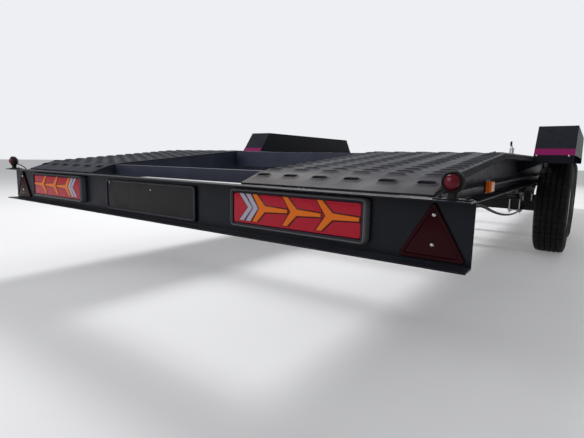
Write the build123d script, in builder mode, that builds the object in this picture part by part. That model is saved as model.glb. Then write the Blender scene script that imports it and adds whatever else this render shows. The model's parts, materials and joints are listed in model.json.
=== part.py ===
from build123d import *

import os
from math import atan2, cos, hypot, radians, sin, tan

os.makedirs("parts", exist_ok=True)

# A two-axle car transporter trailer, in millimetres.
# X points to the trailer's right, Y forward and Z up from the ground.
# Every station along Y is measured from the rear beam's web and turned into Y by at().

# Driving dimensions: the whole trailer
bed_length = 5500.0
drawbar_reach = 1500.0
beam_width = 2250.0
beam_top = 510.0
deck_top = 626.0
steel = 4.0
seat_gap = 0.3
running_gap = 5.0

# Rear beam, an open channel that faces backwards
beam_height = 150.0
beam_flange = 48.0

# Runways, each a perforated sheet: a short steep strip, a ramp and a level deck
runway_width = 594.0
runway_end_inset = 96.0
strip_rise = 37.0
strip_length = 108.0
crest_station = 920.0
foot_station = 28.0
lip_depth = 22.0
slot_length = 48.0
slot_width = 20.0
slot_nose = 7.0
slot_columns = 6
slot_inner_margin = 42.0
slot_outer_margin = 38.0
slot_row_pitch = 80.0
slot_strip_row = 86.0
slot_first_row = 150.0
slot_rows = 10
level_slot_pitch = 480.0

# Side beams, a low channel open to the outside with a web that rises to the deck
side_inset = 9.0
side_depth = 70.0
side_channel = 53.0
web_start = 40.0

# Inner rails, crossmembers and bearers
rail_flange = 30.0
bearer_depth = 40.0
bearer_height = 82.0
rear_bay = 640.0
front_bay = 870.0
last_bay = 440.0

# Front beam
front_beam_drop = 124.0
front_beam_flange = 50.0

# Wheels and axles
axle_group_lag = 60.0
rocker_half = 60.0
tyre_diameter = 598.0
tyre_width = 180.0
tyre_room = 18.0
tread_width = 144.0
rim_radius = 165.0
rim_width = 150.0
rim_wall = 12.0
disc_offset = 34.0
disc_wall = 8.0
drum_radius = 112.0
drum_width = 50.0
hub_radius = 38.0
hub_reach = 30.0
hub_cap_wall = 8.0
stub_radius = 20.0
stub_reach = 20.0
stub_fit = 0.05
backplate_wall = 5.0
axle_tube = 60.0

# Leaf springs
spring_inset = 25.0
spring_width = 50.0
spring_half = 290.0
spring_camber = 38.0
leaf_wall = 8.0
leaf_shares = (1.0, 0.81, 0.6, 0.4)
eye_radius = 15.0
eye_nut_radius = 12.0
eye_nut_height = 8.0
seat_wall = 8.0
seat_bite = 2.0

# Hangers, rockers and axle clamps
ear_wall = 6.0
ear_overlap = 20.0
hanger_clear = 8.0
hanger_head = 50.0
hanger_top_half = 38.0
hanger_foot_half = 22.0
middle_top_half = 50.0
middle_foot_half = 20.0
clamp_leg_radius = 6.0
clamp_leg_sides = 8
clamp_gap = 1.0
clamp_plate_wall = 8.0
clamp_edge = 4.0
clamp_leg_tail = 14.0

# Mudguards, folded from sheet over each pair of wheels
guard_room = 10.0
guard_width = 198.0
guard_wall = 3.0
guard_lift = 10.0
guard_rise = 170.0
guard_reach = 191.0
guard_lean = 130.0
guard_strip_height = 34.0
guard_strip_wall = 2.0
carrier_height = 46.0
carrier_depth = 30.0
carrier_root_drop = 60.0
carrier_taper = 50.0
lip_room = 2.0

# Tail lamps
lamp_width = 450.0
lamp_height = 116.0
lamp_depth = 24.0
lamp_inset = 464.0
lamp_centre_drop = 68.0
lamp_rim = 14.0
lamp_corner = 16.0
lamp_back = 2.0
lens_depth = 18.0
symbol_depth = 1.5
symbol_half = 40.0
symbol_lift = 4.0

# Plate holder and triangles
plate_width = 530.0
plate_height = 120.0
plate_depth = 8.0
plate_corner = 12.0
plate_drop = 76.0
plate_recess = 2.0
plate_border = 7.0
triangle_side = 155.0
triangle_depth = 7.0
triangle_inset = 86.0
triangle_base_drop = 139.0

# End marker lamps, each a ring on a short foot
marker_inset = 43.0
marker_lift = 38.0
marker_radius = 24.0
marker_body_depth = 22.0
marker_foot_width = 28.0
marker_neck_width = 20.0
marker_lens_radius = 18.0
marker_lens_dome = 10.0

# Amber side marker lamps
side_marker_length = 64.0
side_marker_height = 38.0
side_marker_depth = 18.0
side_marker_base = 5.0
side_marker_border = 4.0
side_marker_drop = 4.0
side_marker_taper = 4.0
ramp_marker_setback = 280.0
middle_marker_lead = 1010.0
front_marker_setback = 250.0

# Drawbar
arm_height = 100.0
arm_width = 60.0
arm_root = 1100.0
arm_inset = 190.0
head_length = 350.0
head_half = 98.0
head_plate_wall = 6.0
head_plate_length = 400.0

# Overrun housing, gaiter and coupling
housing_width = 90.0
housing_length = 320.0
guide_length = 90.0
guide_radius = 40.0
shaft_radius = 25.0
gaiter_radius = 44.0
gaiter_valley = 10.0
gaiter_length = 120.0
gaiter_folds = 3
coupling_z = 452.0
coupling_socket_radius = 25.4
coupling_socket_depth = 26.0
coupling_cup_radius = 40.0
coupling_chamfer = 14.0
socket_mouth_z = 412.0
cup_top_z = 486.0
neck_radius = 30.0
neck_bottom_z = 428.0
neck_top_z = 474.0
collar_radius = 33.0
collar_length = 45.0
handle_width = 24.0
handle_length = 150.0
handle_lift = 30.0
handle_wall = 12.0

# Handbrake: a toothed quadrant and a lever with a grip
quadrant_radius = 58.0
quadrant_wall = 8.0
lever_setback = 120.0
lever_length = 330.0
lever_width = 24.0
lever_wall = 10.0
lever_rise = 40.0
grip_length = 110.0
grip_radius = 15.0

# Brake rod under the bed
brake_rod_radius = 6.0
brake_rod_drop = 30.0
equaliser_width = 140.0
equaliser_height = 60.0

# Jockey wheel
jockey_setback = 320.0
jockey_offset = 46.6
jockey_tube_radius = 30.0
jockey_tube_wall = 4.0
jockey_tube_bottom = 385.0
jockey_tube_top = 800.0
jockey_travel = 150.0
jockey_leg_fit = 0.5
jockey_leg_top = 620.0
jockey_clamp_radius = 40.0
jockey_clamp_half = 35.0
jockey_clamp_reach = 40.0
jockey_cap_height = 10.0
crank_radius = 8.0
crank_neck = 20.0
crank_arm = 100.0
crank_arm_width = 22.0
crank_arm_wall = 8.0
crank_grip_radius = 11.0
crank_grip_height = 70.0
jockey_wheel_radius = 100.0
jockey_wheel_width = 50.0
jockey_wheel_edge = 12.0
pin_radius = 8.0
pin_fit = 0.05
jockey_trail = 40.0
jockey_fork_top = 212.0
fork_wall = 5.0
fork_foot_half = 16.0
fork_root_half = 22.0
spigot_radius = 12.0

# Worked-out levels, widths and stations
rear_y = beam_flange - (beam_flange + bed_length + drawbar_reach) / 2
runway_outer = beam_width / 2 - runway_end_inset
runway_inner = runway_outer - runway_width
slot_column_pitch = (runway_width - slot_inner_margin - slot_outer_margin) / (slot_columns - 1)
side_outer = runway_outer - side_inset
side_web = side_outer - side_depth
bend_station = foot_station + strip_length
foot_z = beam_top + steel
bend_z = foot_z + strip_rise
deck_under = deck_top - steel
side_ledge = foot_z - steel - seat_gap
side_bottom = beam_top - side_channel
front_beam_bottom = deck_top - front_beam_drop
rail_bottom = front_beam_bottom
axle_z = tyre_diameter / 2
axle_spacing = 2 * (spring_half + rocker_half)
axle_group_station = bed_length / 2 - axle_group_lag
rear_axle_station = axle_group_station - axle_spacing / 2
front_axle_station = axle_group_station + axle_spacing / 2
wheel_track_half = side_outer + tyre_room + tyre_width / 2
spring_x = side_web - spring_inset - spring_width / 2
guard_inner = side_outer + guard_room
guard_outer = guard_inner + guard_width
guard_bottom = deck_top + guard_lift
guard_top = guard_bottom + guard_rise
guard_base_half = axle_spacing / 2 + tyre_diameter / 2 + guard_reach
guard_top_half = guard_base_half - guard_lean
nose_station = bed_length + drawbar_reach
arm_rear_station = bed_length - arm_root
arm_rear_x = side_web - arm_inset
arm_front_station = nose_station - head_length
jockey_station = arm_front_station - jockey_setback
sides = (("left", -1), ("right", 1))
axles = (("rear", rear_axle_station), ("front", front_axle_station))


def at(station):
    """Turn a distance ahead of the rear beam's web into Y."""
    return rear_y + station


def write(built, name):
    """Label a finished piece and write it as its own file."""
    built.label = name
    export_step(built, f"parts/{name}.step")


def deck_height(station):
    """Height of the runway's top face at a station."""
    if station <= bend_station:
        return foot_z + strip_rise * (station - foot_station) / strip_length
    if station <= crest_station:
        share = (station - bend_station) / (crest_station - bend_station)
        return bend_z + share * (deck_top - bend_z)
    return deck_top


def face_plane(station):
    """A vertical plane across the trailer, seen from behind: sketch x is X and y is Z."""
    return Plane(origin=(0, at(station), 0), x_dir=(1, 0, 0), z_dir=(0, -1, 0))


def side_plane(x):
    """A vertical plane along the trailer: sketch x is Y and y is Z."""
    return Plane.YZ.offset(x)


# Rear beam: web in front, both flanges standing out to the rear
with BuildPart() as rear_beam:
    with BuildSketch(side_plane(-beam_width / 2)):
        Polygon(
            (at(steel), beam_top),
            (at(-beam_flange), beam_top),
            (at(-beam_flange), beam_top - steel),
            (at(0), beam_top - steel),
            (at(0), beam_top - beam_height + steel),
            (at(-beam_flange), beam_top - beam_height + steel),
            (at(-beam_flange), beam_top - beam_height),
            (at(steel), beam_top - beam_height),
        )
    extrude(amount=beam_width)
write(rear_beam.part, "rear_beam")


def runway_sheet(built_from, built_to, sign):
    """Top sheet of one runway between two stations, with its outer edge folded down."""
    inner_stations = [s for s in (bend_station, crest_station) if built_from < s < built_to]
    stations = [built_from, *inner_stations, built_to]
    top = [(at(s), deck_height(s)) for s in stations]
    sheet_under = [(at(s), deck_height(s) - steel) for s in reversed(stations)]
    lip_under = [(at(s), deck_height(s) - lip_depth) for s in reversed(stations)]
    with BuildPart() as sheet:
        with BuildSketch(side_plane(sign * runway_inner)):
            Polygon(*top, *sheet_under)
        extrude(amount=sign * (runway_outer - runway_inner))
        with BuildSketch(side_plane(sign * (runway_outer - steel))):
            Polygon(*top, *lip_under)
        extrude(amount=sign * steel)
    return sheet.part


def slot_sketch(sign, stations, columns):
    """Oblong slots across the runway, with pointed ends."""
    half = slot_length / 2
    flat = half - slot_nose
    with BuildSketch(Plane.XY.offset(deck_top + steel)) as slots:
        for station in stations:
            for column in columns:
                x = runway_inner + slot_inner_margin + column * slot_column_pitch
                with Locations((sign * x, at(station))):
                    Polygon(
                        (-half, 0),
                        (-flat, -slot_width / 2),
                        (flat, -slot_width / 2),
                        (half, 0),
                        (flat, slot_width / 2),
                        (-flat, slot_width / 2),
                    )
    return slots.sketch


# Runways: the sloping ramp and the level deck of each side
slot_depth = deck_top + 2 * steel - beam_top + lip_depth
ramp_rows = [slot_strip_row] + [slot_first_row + i * slot_row_pitch for i in range(slot_rows)]
level_start = crest_station + slot_row_pitch
level_count = int((bed_length - slot_row_pitch - level_start) // level_slot_pitch) + 1
level_rows = [level_start + i * level_slot_pitch for i in range(level_count)]
with BuildPart() as ramps:
    for side, sign in sides:
        add(runway_sheet(foot_station, crest_station, sign))
        extrude(
            slot_sketch(sign, ramp_rows, range(slot_columns)),
            amount=-slot_depth,
            mode=Mode.SUBTRACT,
        )
write(ramps.part, "ramps")

with BuildPart() as decks:
    for side, sign in sides:
        add(runway_sheet(crest_station, bed_length, sign))
        extrude(
            slot_sketch(sign, level_rows, range(1, slot_columns, 2)),
            amount=-slot_depth,
            mode=Mode.SUBTRACT,
        )
write(decks.part, "decks")


# Side beams and inner rails
def sloped_web(bottom, start, x, sign):
    """Web plate whose upper edge follows the runway's underside."""
    start_z = max(bottom, deck_height(start) - steel)
    with BuildPart() as web:
        with BuildSketch(side_plane(sign * x)):
            Polygon(
                (at(start), bottom),
                (at(start), start_z),
                (at(bend_station), bend_z - steel),
                (at(crest_station), deck_under),
                (at(bed_length), deck_under),
                (at(bed_length), bottom),
            )
        extrude(amount=sign * steel)
    return web.part


with BuildPart() as side_beams:
    for side, sign in sides:
        with BuildSketch(face_plane(steel)):
            Polygon(
                (sign * side_web, side_bottom),
                (sign * side_outer, side_bottom),
                (sign * side_outer, side_bottom + steel),
                (sign * (side_web + steel), side_bottom + steel),
                (sign * (side_web + steel), side_ledge - steel),
                (sign * side_outer, side_ledge - steel),
                (sign * side_outer, side_ledge),
                (sign * side_web, side_ledge),
            )
        extrude(amount=-(bed_length - steel))
        add(sloped_web(side_ledge - steel, web_start, side_web, sign))
write(side_beams.part, "side_beams")

with BuildPart() as inner_rails:
    for side, sign in sides:
        add(sloped_web(rail_bottom, foot_station, runway_inner, sign))
        with BuildSketch(face_plane(steel)):
            Polygon(
                (sign * runway_inner, rail_bottom),
                (sign * (runway_inner + rail_flange), rail_bottom),
                (sign * (runway_inner + rail_flange), rail_bottom + steel),
                (sign * runway_inner, rail_bottom + steel),
            )
        extrude(amount=-(bed_length - steel))
write(inner_rails.part, "inner_rails")

# Crossmembers in the open middle and bearers under the runways.
# Columns: station of the rear face, height of the section
crossmember_table = (
    (bend_station, bend_z - steel - rail_bottom),
    (crest_station, bearer_height),
    (crest_station + rear_bay, bearer_height),
    (axle_group_station - bearer_depth / 2, bearer_height),
    (axle_group_station + front_bay, bearer_height),
    (arm_rear_station + bearer_depth, deck_under - front_beam_bottom),
    (bed_length - last_bay, deck_under - front_beam_bottom),
)


def channel_points(station, top, height):
    """Channel section, open forwards, in the plane along the trailer."""
    rear = at(station)
    front = at(station + bearer_depth)
    bottom = top - height
    return (
        (rear, bottom),
        (front, bottom),
        (front, bottom + steel),
        (rear + steel, bottom + steel),
        (rear + steel, top - steel),
        (front, top - steel),
        (front, top),
        (rear, top),
    )


with BuildPart() as crossmembers:
    for station, height in crossmember_table:
        with BuildSketch(side_plane(-runway_inner)):
            Polygon(*channel_points(station, deck_height(station) - steel, height))
        extrude(amount=2 * runway_inner)
write(crossmembers.part, "crossmembers")

with BuildPart() as bearers:
    for station, height in crossmember_table:
        for side, sign in sides:
            with BuildSketch(side_plane(sign * (runway_inner + steel))):
                Polygon(*channel_points(station, deck_height(station) - steel, height))
            extrude(amount=sign * (side_web - runway_inner - steel))
            # A notch lets the inner rail's flange pass
            with BuildSketch(side_plane(sign * runway_inner)):
                with Locations((at(station), rail_bottom)):
                    Rectangle(bearer_depth, steel, align=(Align.MIN, Align.MIN))
            extrude(amount=sign * (rail_flange + seat_gap), mode=Mode.SUBTRACT)
write(bearers.part, "runway_bearers")

# Front beam: a channel that closes the bed, open to the rear
with BuildPart() as front_beam:
    with BuildSketch(side_plane(-side_outer)):
        Polygon(
            (at(bed_length), front_beam_bottom),
            (at(bed_length + front_beam_flange), front_beam_bottom),
            (at(bed_length + front_beam_flange), deck_top),
            (at(bed_length), deck_top),
            (at(bed_length), deck_top - steel),
            (at(bed_length + front_beam_flange - steel), deck_top - steel),
            (at(bed_length + front_beam_flange - steel), front_beam_bottom + steel),
            (at(bed_length), front_beam_bottom + steel),
        )
    extrude(amount=2 * side_outer)
write(front_beam.part, "front_beam")


# Mudguards: a trapezoid hood over both wheels, open below
def guard_outline(inset):
    """Trapezoid of the mudguard's side, drawn in by an inset at its top and ends."""
    slope = guard_lean / guard_rise
    base = guard_base_half - inset * hypot(1, slope)
    top = guard_top - inset
    head = base - slope * (top - guard_bottom)
    middle = at(axle_group_station)
    return (
        (middle - base, guard_bottom),
        (middle - head, top),
        (middle + head, top),
        (middle + base, guard_bottom),
    )


with BuildPart() as mudguards:
    for side, sign in sides:
        with BuildSketch(side_plane(sign * guard_inner)):
            Polygon(*guard_outline(0))
        extrude(amount=sign * guard_width)
        with BuildSketch(side_plane(sign * (guard_inner + guard_wall))):
            Polygon(*guard_outline(guard_wall))
        extrude(amount=sign * (guard_width - 2 * guard_wall), mode=Mode.SUBTRACT)
write(mudguards.part, "mudguards")

# Coloured strips along the lower edge of each mudguard's rear face
guard_slope = atan2(guard_lean, guard_rise)
with BuildPart() as guard_strips:
    for side, sign in sides:
        face = Plane(
            origin=(
                sign * (guard_inner + guard_width / 2),
                at(axle_group_station - guard_base_half),
                guard_bottom,
            ),
            x_dir=(1, 0, 0),
            z_dir=(0, -cos(guard_slope), sin(guard_slope)),
        )
        with BuildSketch(face):
            Rectangle(guard_width, guard_strip_height, align=(Align.CENTER, Align.MIN))
        extrude(amount=guard_strip_wall)
write(guard_strips.part, "mudguard_strips")

# Carriers: an angle across each end of a mudguard, from the side beam outwards
carrier_top = deck_top - lip_depth - lip_room
with BuildPart() as guard_carriers:
    for side, sign in sides:
        for end in (-1, 1):
            station = axle_group_station + end * (guard_base_half - carrier_depth / 2)
            plate_station = station - end * (steel - carrier_depth) / 2
            with BuildSketch(face_plane(plate_station + steel / 2)):
                Polygon(
                    (sign * (side_web + steel), guard_bottom - carrier_height - carrier_root_drop),
                    (sign * (side_web + steel), carrier_top),
                    (sign * guard_inner, carrier_top),
                    (sign * guard_inner, guard_bottom),
                    (sign * guard_outer, guard_bottom),
                    (sign * guard_outer, guard_bottom - carrier_height),
                    (sign * (guard_inner + carrier_taper), guard_bottom - carrier_height),
                )
            extrude(amount=steel)
            with BuildSketch(face_plane(station + carrier_depth / 2)):
                Polygon(
                    (sign * guard_inner, guard_bottom - steel),
                    (sign * guard_outer, guard_bottom - steel),
                    (sign * guard_outer, guard_bottom),
                    (sign * guard_inner, guard_bottom),
                )
            extrude(amount=carrier_depth)
write(guard_carriers.part, "mudguard_carriers")


# Wheels
def wheel_plane(x, station):
    """Plane through a wheel's axis: sketch x is outwards along the axis, y is the radius."""
    return Plane(
        origin=(x, at(station), axle_z), x_dir=(1 if x > 0 else -1, 0, 0), z_dir=(0, -1, 0)
    )


tyre_radius = tyre_diameter / 2
rim_half = rim_width / 2
drum_inner = disc_offset - drum_width
hub_end = disc_offset + hub_reach
stub_tip = disc_offset + stub_reach
for end, station in axles:
    for side, sign in sides:
        centre_x = sign * wheel_track_half
        spin_axis = Axis((centre_x, at(station), axle_z), (1, 0, 0))
        with BuildPart() as tyre:
            with BuildSketch(wheel_plane(centre_x, station)):
                Polygon(
                    (-tyre_width / 2, rim_radius),
                    (-tread_width / 2, tyre_radius),
                    (tread_width / 2, tyre_radius),
                    (tyre_width / 2, rim_radius),
                )
            revolve(axis=spin_axis)
        write(tyre.part, f"tyre_{end}_{side}")

        # Rim barrel, wheel disc, hub with its cap, and the brake drum behind
        with BuildPart() as rim:
            with BuildSketch(wheel_plane(centre_x, station)):
                Polygon(
                    (-rim_half, rim_radius - rim_wall),
                    (-rim_half, rim_radius - seat_gap),
                    (rim_half, rim_radius - seat_gap),
                    (rim_half, rim_radius - rim_wall),
                    (disc_offset + disc_wall, rim_radius - rim_wall),
                    (disc_offset + disc_wall, hub_radius),
                    (hub_end, hub_radius),
                    (hub_end, 0),
                    (hub_end - hub_cap_wall, 0),
                    (hub_end - hub_cap_wall, stub_radius + stub_fit),
                    (drum_inner, stub_radius + stub_fit),
                    (drum_inner, drum_radius),
                    (disc_offset, drum_radius),
                    (disc_offset, rim_radius - rim_wall),
                )
            revolve(axis=spin_axis)
        write(rim.part, f"rim_{end}_{side}")

# Axles: a square tube with a stub and a brake backplate at each end
stub_end = wheel_track_half + stub_tip
backplate_outer = wheel_track_half + drum_inner - running_gap
backplate_inner = backplate_outer - backplate_wall
with BuildPart() as axle_beams:
    for end, station in axles:
        with BuildSketch(side_plane(-backplate_inner)):
            with Locations((at(station), axle_z)):
                Rectangle(axle_tube, axle_tube)
        extrude(amount=2 * backplate_inner)
        for side, sign in sides:
            with BuildSketch(side_plane(sign * backplate_inner)):
                with Locations((at(station), axle_z)):
                    Circle(drum_radius)
            extrude(amount=sign * backplate_wall)
            with BuildSketch(side_plane(sign * backplate_outer)):
                with Locations((at(station), axle_z)):
                    Circle(stub_radius)
            extrude(amount=sign * (stub_end - backplate_outer))
write(axle_beams.part, "axles")

# Leaf springs: stacked leaves drawn as one stepped outline of arcs
leaf_halves = [spring_half * share for share in leaf_shares]
seat_top = axle_z + axle_tube / 2 + seat_wall
spring_top = seat_top + leaf_wall * len(leaf_halves)
arc_radius = (spring_half**2 + spring_camber**2) / (2 * spring_camber)
arc_centre_z = spring_top + arc_radius
eye_z = spring_top + spring_camber + leaf_wall / 2


def leaf_point(radius, offset, station):
    """Point of a leaf face of the given radius, at a signed distance along the arc."""
    angle = offset / arc_radius
    return (at(station) + radius * sin(angle), arc_centre_z - radius * cos(angle))


def spring_outline(station):
    """Stepped outline of the whole pack of leaves."""
    with BuildLine() as outline:
        ThreePointArc(*[leaf_point(arc_radius, o, station) for o in (-spring_half, 0, spring_half)])
        for end in (1, -1):
            for i, reach in enumerate(leaf_halves):
                inner = arc_radius + i * leaf_wall
                outer = inner + leaf_wall
                Line(leaf_point(inner, end * reach, station), leaf_point(outer, end * reach, station))
                if i + 1 < len(leaf_halves):
                    shorter = leaf_halves[i + 1]
                    ThreePointArc(
                        leaf_point(outer, end * reach, station),
                        leaf_point(outer, end * (reach + shorter) / 2, station),
                        leaf_point(outer, end * shorter, station),
                    )
        last = leaf_halves[-1]
        radius = arc_radius + len(leaf_halves) * leaf_wall
        ThreePointArc(*[leaf_point(radius, o, station) for o in (-last, 0, last)])
    return outline.line


with BuildPart() as springs:
    for side, sign in sides:
        spring_side = side_plane(sign * spring_x - spring_width / 2)
        for end, station in axles:
            outline = spring_outline(station)
            with BuildSketch(spring_side):
                add(outline)
                make_face()
            extrude(amount=spring_width)
            for reach in (-spring_half, spring_half):
                with BuildSketch(spring_side):
                    with Locations((at(station) + reach, eye_z)):
                        Circle(eye_radius)
                extrude(amount=spring_width)
            with BuildSketch(spring_side):
                with Locations((at(station), axle_z + axle_tube / 2)):
                    Rectangle(axle_tube, seat_wall + seat_bite, align=(Align.CENTER, Align.MIN))
            extrude(amount=spring_width)
write(springs.part, "leaf_springs")

# Hangers: an ear each side of every eye, hung from a block on the side beam's web
ear_inner = spring_width / 2 + seat_gap
ear_outer = ear_inner + ear_wall
ear_bottom = eye_z - ear_overlap
block_bottom = eye_z + eye_radius + hanger_clear
block_top = block_bottom + hanger_head
cheek_inner = ear_outer + seat_gap
cheek_outer = cheek_inner + ear_wall


def ear_outline(station, top_half, foot_half):
    """Tapered ear of a hanger, seen from the side, inside the current sketch."""
    Polygon(
        (at(station) - top_half, block_top),
        (at(station) - foot_half, ear_bottom),
        (at(station) + foot_half, ear_bottom),
        (at(station) + top_half, block_top),
    )


outer_eyes = (rear_axle_station - spring_half, front_axle_station + spring_half)
# Columns: station, half widths at the top and foot, inner and outer face of the ears
hanger_table = (
    (outer_eyes[0], hanger_top_half, hanger_foot_half, ear_inner, ear_outer),
    (axle_group_station, middle_top_half, middle_foot_half, cheek_inner, cheek_outer),
    (outer_eyes[1], hanger_top_half, hanger_foot_half, ear_inner, ear_outer),
)
with BuildPart() as hangers:
    for side, sign in sides:
        for station, top_half, foot_half, inner, outer in hanger_table:
            for cheek in (-1, 1):
                with BuildSketch(side_plane(sign * spring_x + cheek * inner)):
                    ear_outline(station, top_half, foot_half)
                extrude(amount=cheek * (outer - inner))
                with BuildSketch(side_plane(sign * spring_x + cheek * outer)):
                    with Locations((at(station), eye_z)):
                        RegularPolygon(radius=eye_nut_radius, side_count=6)
                extrude(amount=cheek * eye_nut_height)
            with BuildSketch(side_plane(sign * (spring_x - outer))):
                with Locations((at(station), block_bottom)):
                    Rectangle(2 * top_half, hanger_head, align=(Align.CENTER, Align.MIN))
            extrude(amount=sign * (side_web - spring_x + outer))
write(hangers.part, "spring_hangers")

# Rockers: a balance beam between the two springs of a side, on the middle hanger
with BuildPart() as rockers:
    for side, sign in sides:
        for cheek in (-1, 1):
            with BuildSketch(side_plane(sign * spring_x + cheek * ear_inner)):
                with Locations((at(axle_group_station), eye_z)):
                    SlotCenterToCenter(2 * rocker_half, 2 * eye_radius)
            extrude(amount=cheek * ear_wall)
            with BuildSketch(side_plane(sign * spring_x + cheek * ear_outer)):
                for reach in (-rocker_half, rocker_half):
                    with Locations((at(axle_group_station) + reach, eye_z)):
                        RegularPolygon(radius=eye_nut_radius, side_count=6)
            extrude(amount=cheek * eye_nut_height)
        with BuildSketch(side_plane(sign * spring_x - ear_inner)):
            with Locations((at(axle_group_station), eye_z)):
                Circle(eye_radius)
        extrude(amount=2 * ear_inner)
write(rockers.part, "spring_rockers")

# Axle clamps: a plate under each axle, with four bolt legs to two bars over the spring
leg_x = spring_width / 2 + clamp_leg_radius
leg_y = axle_tube / 2 + clamp_leg_radius + clamp_gap
clamp_bottom = axle_z - axle_tube / 2 - clamp_plate_wall
bar_bottom = spring_top + clamp_gap
bar_half = clamp_leg_radius + clamp_gap
with BuildPart() as axle_clamps:
    for end, station in axles:
        for side, sign in sides:
            with BuildSketch(Plane.XY.offset(clamp_bottom)):
                with Locations((sign * spring_x, at(station))):
                    Rectangle(
                        2 * (leg_x + clamp_leg_radius + clamp_edge),
                        2 * (leg_y + clamp_leg_radius + clamp_edge),
                    )
            extrude(amount=clamp_plate_wall)
            with BuildSketch(Plane.XY.offset(clamp_bottom - clamp_leg_tail)):
                with Locations((sign * spring_x, at(station))):
                    with GridLocations(2 * leg_x, 2 * leg_y, 2, 2):
                        RegularPolygon(radius=clamp_leg_radius, side_count=clamp_leg_sides)
            extrude(amount=bar_bottom + bar_half - clamp_bottom + clamp_leg_tail)
            with BuildSketch(Plane.XY.offset(bar_bottom)):
                with Locations((sign * spring_x, at(station))):
                    with GridLocations(2 * leg_x, 2 * leg_y, 1, 2):
                        Rectangle(2 * (leg_x + bar_half), 2 * bar_half)
            extrude(amount=2 * bar_half)
write(axle_clamps.part, "axle_clamps")

# Tail lamps: rim frame, lens and the symbols on it, mirrored to each side
lamp_centre_x = beam_width / 2 - lamp_inset
lamp_z = beam_top - lamp_centre_drop
lens_width = lamp_width - 2 * lamp_rim
lens_height = lamp_height - 2 * lamp_rim

with BuildPart() as lamp_frames:
    for side, sign in sides:
        with BuildSketch(face_plane(0)):
            with Locations((sign * lamp_centre_x, lamp_z)):
                RectangleRounded(lamp_width, lamp_height, lamp_corner)
        extrude(amount=lamp_depth)
        with BuildSketch(face_plane(-lamp_back)):
            with Locations((sign * lamp_centre_x, lamp_z)):
                RectangleRounded(lens_width, lens_height, lamp_corner / 2)
        extrude(amount=lamp_depth, mode=Mode.SUBTRACT)
write(lamp_frames.part, "tail_lamp_frames")

with BuildPart() as lamp_lenses:
    for side, sign in sides:
        with BuildSketch(face_plane(-lamp_back)):
            with Locations((sign * lamp_centre_x, lamp_z)):
                RectangleRounded(lens_width - 2 * seat_gap, lens_height - 2 * seat_gap, lamp_corner / 2)
        extrude(amount=lens_depth)
write(lamp_lenses.part, "tail_lamp_lenses")

# Symbols on the lens: inner chevrons first, then arrows that point outwards.
# Columns: start of the symbol from the lamp's inner end, reach of its tip, arm thickness
chevron_table = ((38.0, 52.0, 18.0), (63.0, 48.0, 19.0))
# Columns: start, then the notch, the fork and the tip measured from it, arm thickness
arrow_table = (
    (89.0, 25.0, 47.0, 126.0, 18.0),
    (198.0, 27.0, 48.0, 124.0, 18.0),
    (308.0, 28.0, 49.0, 124.0, 18.0),
)
arrow_bar_half = 5.0
symbol_z = lamp_z + symbol_lift


def chevron(sign, start, reach, arm):
    """Two arms that meet at a point away from the middle of the trailer."""
    tail = sign * (lamp_centre_x - lamp_width / 2 + start)
    tip = tail + sign * reach
    Polygon(
        (tail, symbol_z + symbol_half),
        (tail + sign * arm, symbol_z + symbol_half),
        (tip, symbol_z),
        (tail + sign * arm, symbol_z - symbol_half),
        (tail, symbol_z - symbol_half),
        (tip - sign * arm, symbol_z),
    )


def arrow(sign, start, notch, fork, tip, arm):
    """Two arms that meet in a straight bar running outwards."""
    tail = sign * (lamp_centre_x - lamp_width / 2 + start)
    Polygon(
        (tail, symbol_z + symbol_half),
        (tail + sign * arm, symbol_z + symbol_half),
        (tail + sign * fork, symbol_z + arrow_bar_half),
        (tail + sign * tip, symbol_z + arrow_bar_half),
        (tail + sign * tip, symbol_z - arrow_bar_half),
        (tail + sign * fork, symbol_z - arrow_bar_half),
        (tail + sign * arm, symbol_z - symbol_half),
        (tail, symbol_z - symbol_half),
        (tail + sign * notch, symbol_z),
    )


with BuildPart() as lamp_chevrons:
    for side, sign in sides:
        with BuildSketch(face_plane(-lamp_back - lens_depth)):
            for row in chevron_table:
                chevron(sign, *row)
        extrude(amount=symbol_depth)
write(lamp_chevrons.part, "lamp_chevrons")

with BuildPart() as lamp_arrows:
    for side, sign in sides:
        with BuildSketch(face_plane(-lamp_back - lens_depth)):
            for row in arrow_table:
                arrow(sign, *row)
        extrude(amount=symbol_depth)
write(lamp_arrows.part, "lamp_arrows")

# Plate holder: a blank panel in a raised rounded border
with BuildPart() as plate_holder:
    with BuildSketch(face_plane(0)):
        with Locations((0, beam_top - plate_drop)):
            RectangleRounded(plate_width, plate_height, plate_corner)
    extrude(amount=plate_depth)
    with BuildSketch(face_plane(-plate_depth)):
        with Locations((0, beam_top - plate_drop)):
            RectangleRounded(
                plate_width - 2 * plate_border,
                plate_height - 2 * plate_border,
                plate_corner - plate_border / 2,
            )
    extrude(amount=-plate_recess, mode=Mode.SUBTRACT)
write(plate_holder.part, "plate_holder")

# Triangular reflectors, one point up
triangle_centre_x = beam_width / 2 - triangle_inset
with BuildPart() as triangles:
    for side, sign in sides:
        with BuildSketch(face_plane(0)):
            with Locations((sign * triangle_centre_x, beam_top - triangle_base_drop)):
                Polygon(
                    (-triangle_side / 2, 0),
                    (triangle_side / 2, 0),
                    (0, triangle_side * sin(radians(60))),
                )
        extrude(amount=triangle_depth)
write(triangles.part, "triangle_reflectors")

# End marker lamps: a rubber body on a foot that stands on the beam, and a domed lens
marker_x = beam_width / 2 - marker_inset
marker_z = beam_top + marker_lift
marker_front = -beam_flange / 2 + marker_body_depth / 2
with BuildPart() as marker_bodies:
    for side, sign in sides:
        with BuildSketch(face_plane(marker_front)):
            with Locations((sign * marker_x, marker_z)):
                Circle(marker_radius)
            with Locations((sign * marker_x, 0)):
                Polygon(
                    (-marker_neck_width / 2, marker_z),
                    (marker_neck_width / 2, marker_z),
                    (marker_foot_width / 2, beam_top),
                    (-marker_foot_width / 2, beam_top),
                )
        extrude(amount=marker_body_depth)
write(marker_bodies.part, "marker_bodies")

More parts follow.
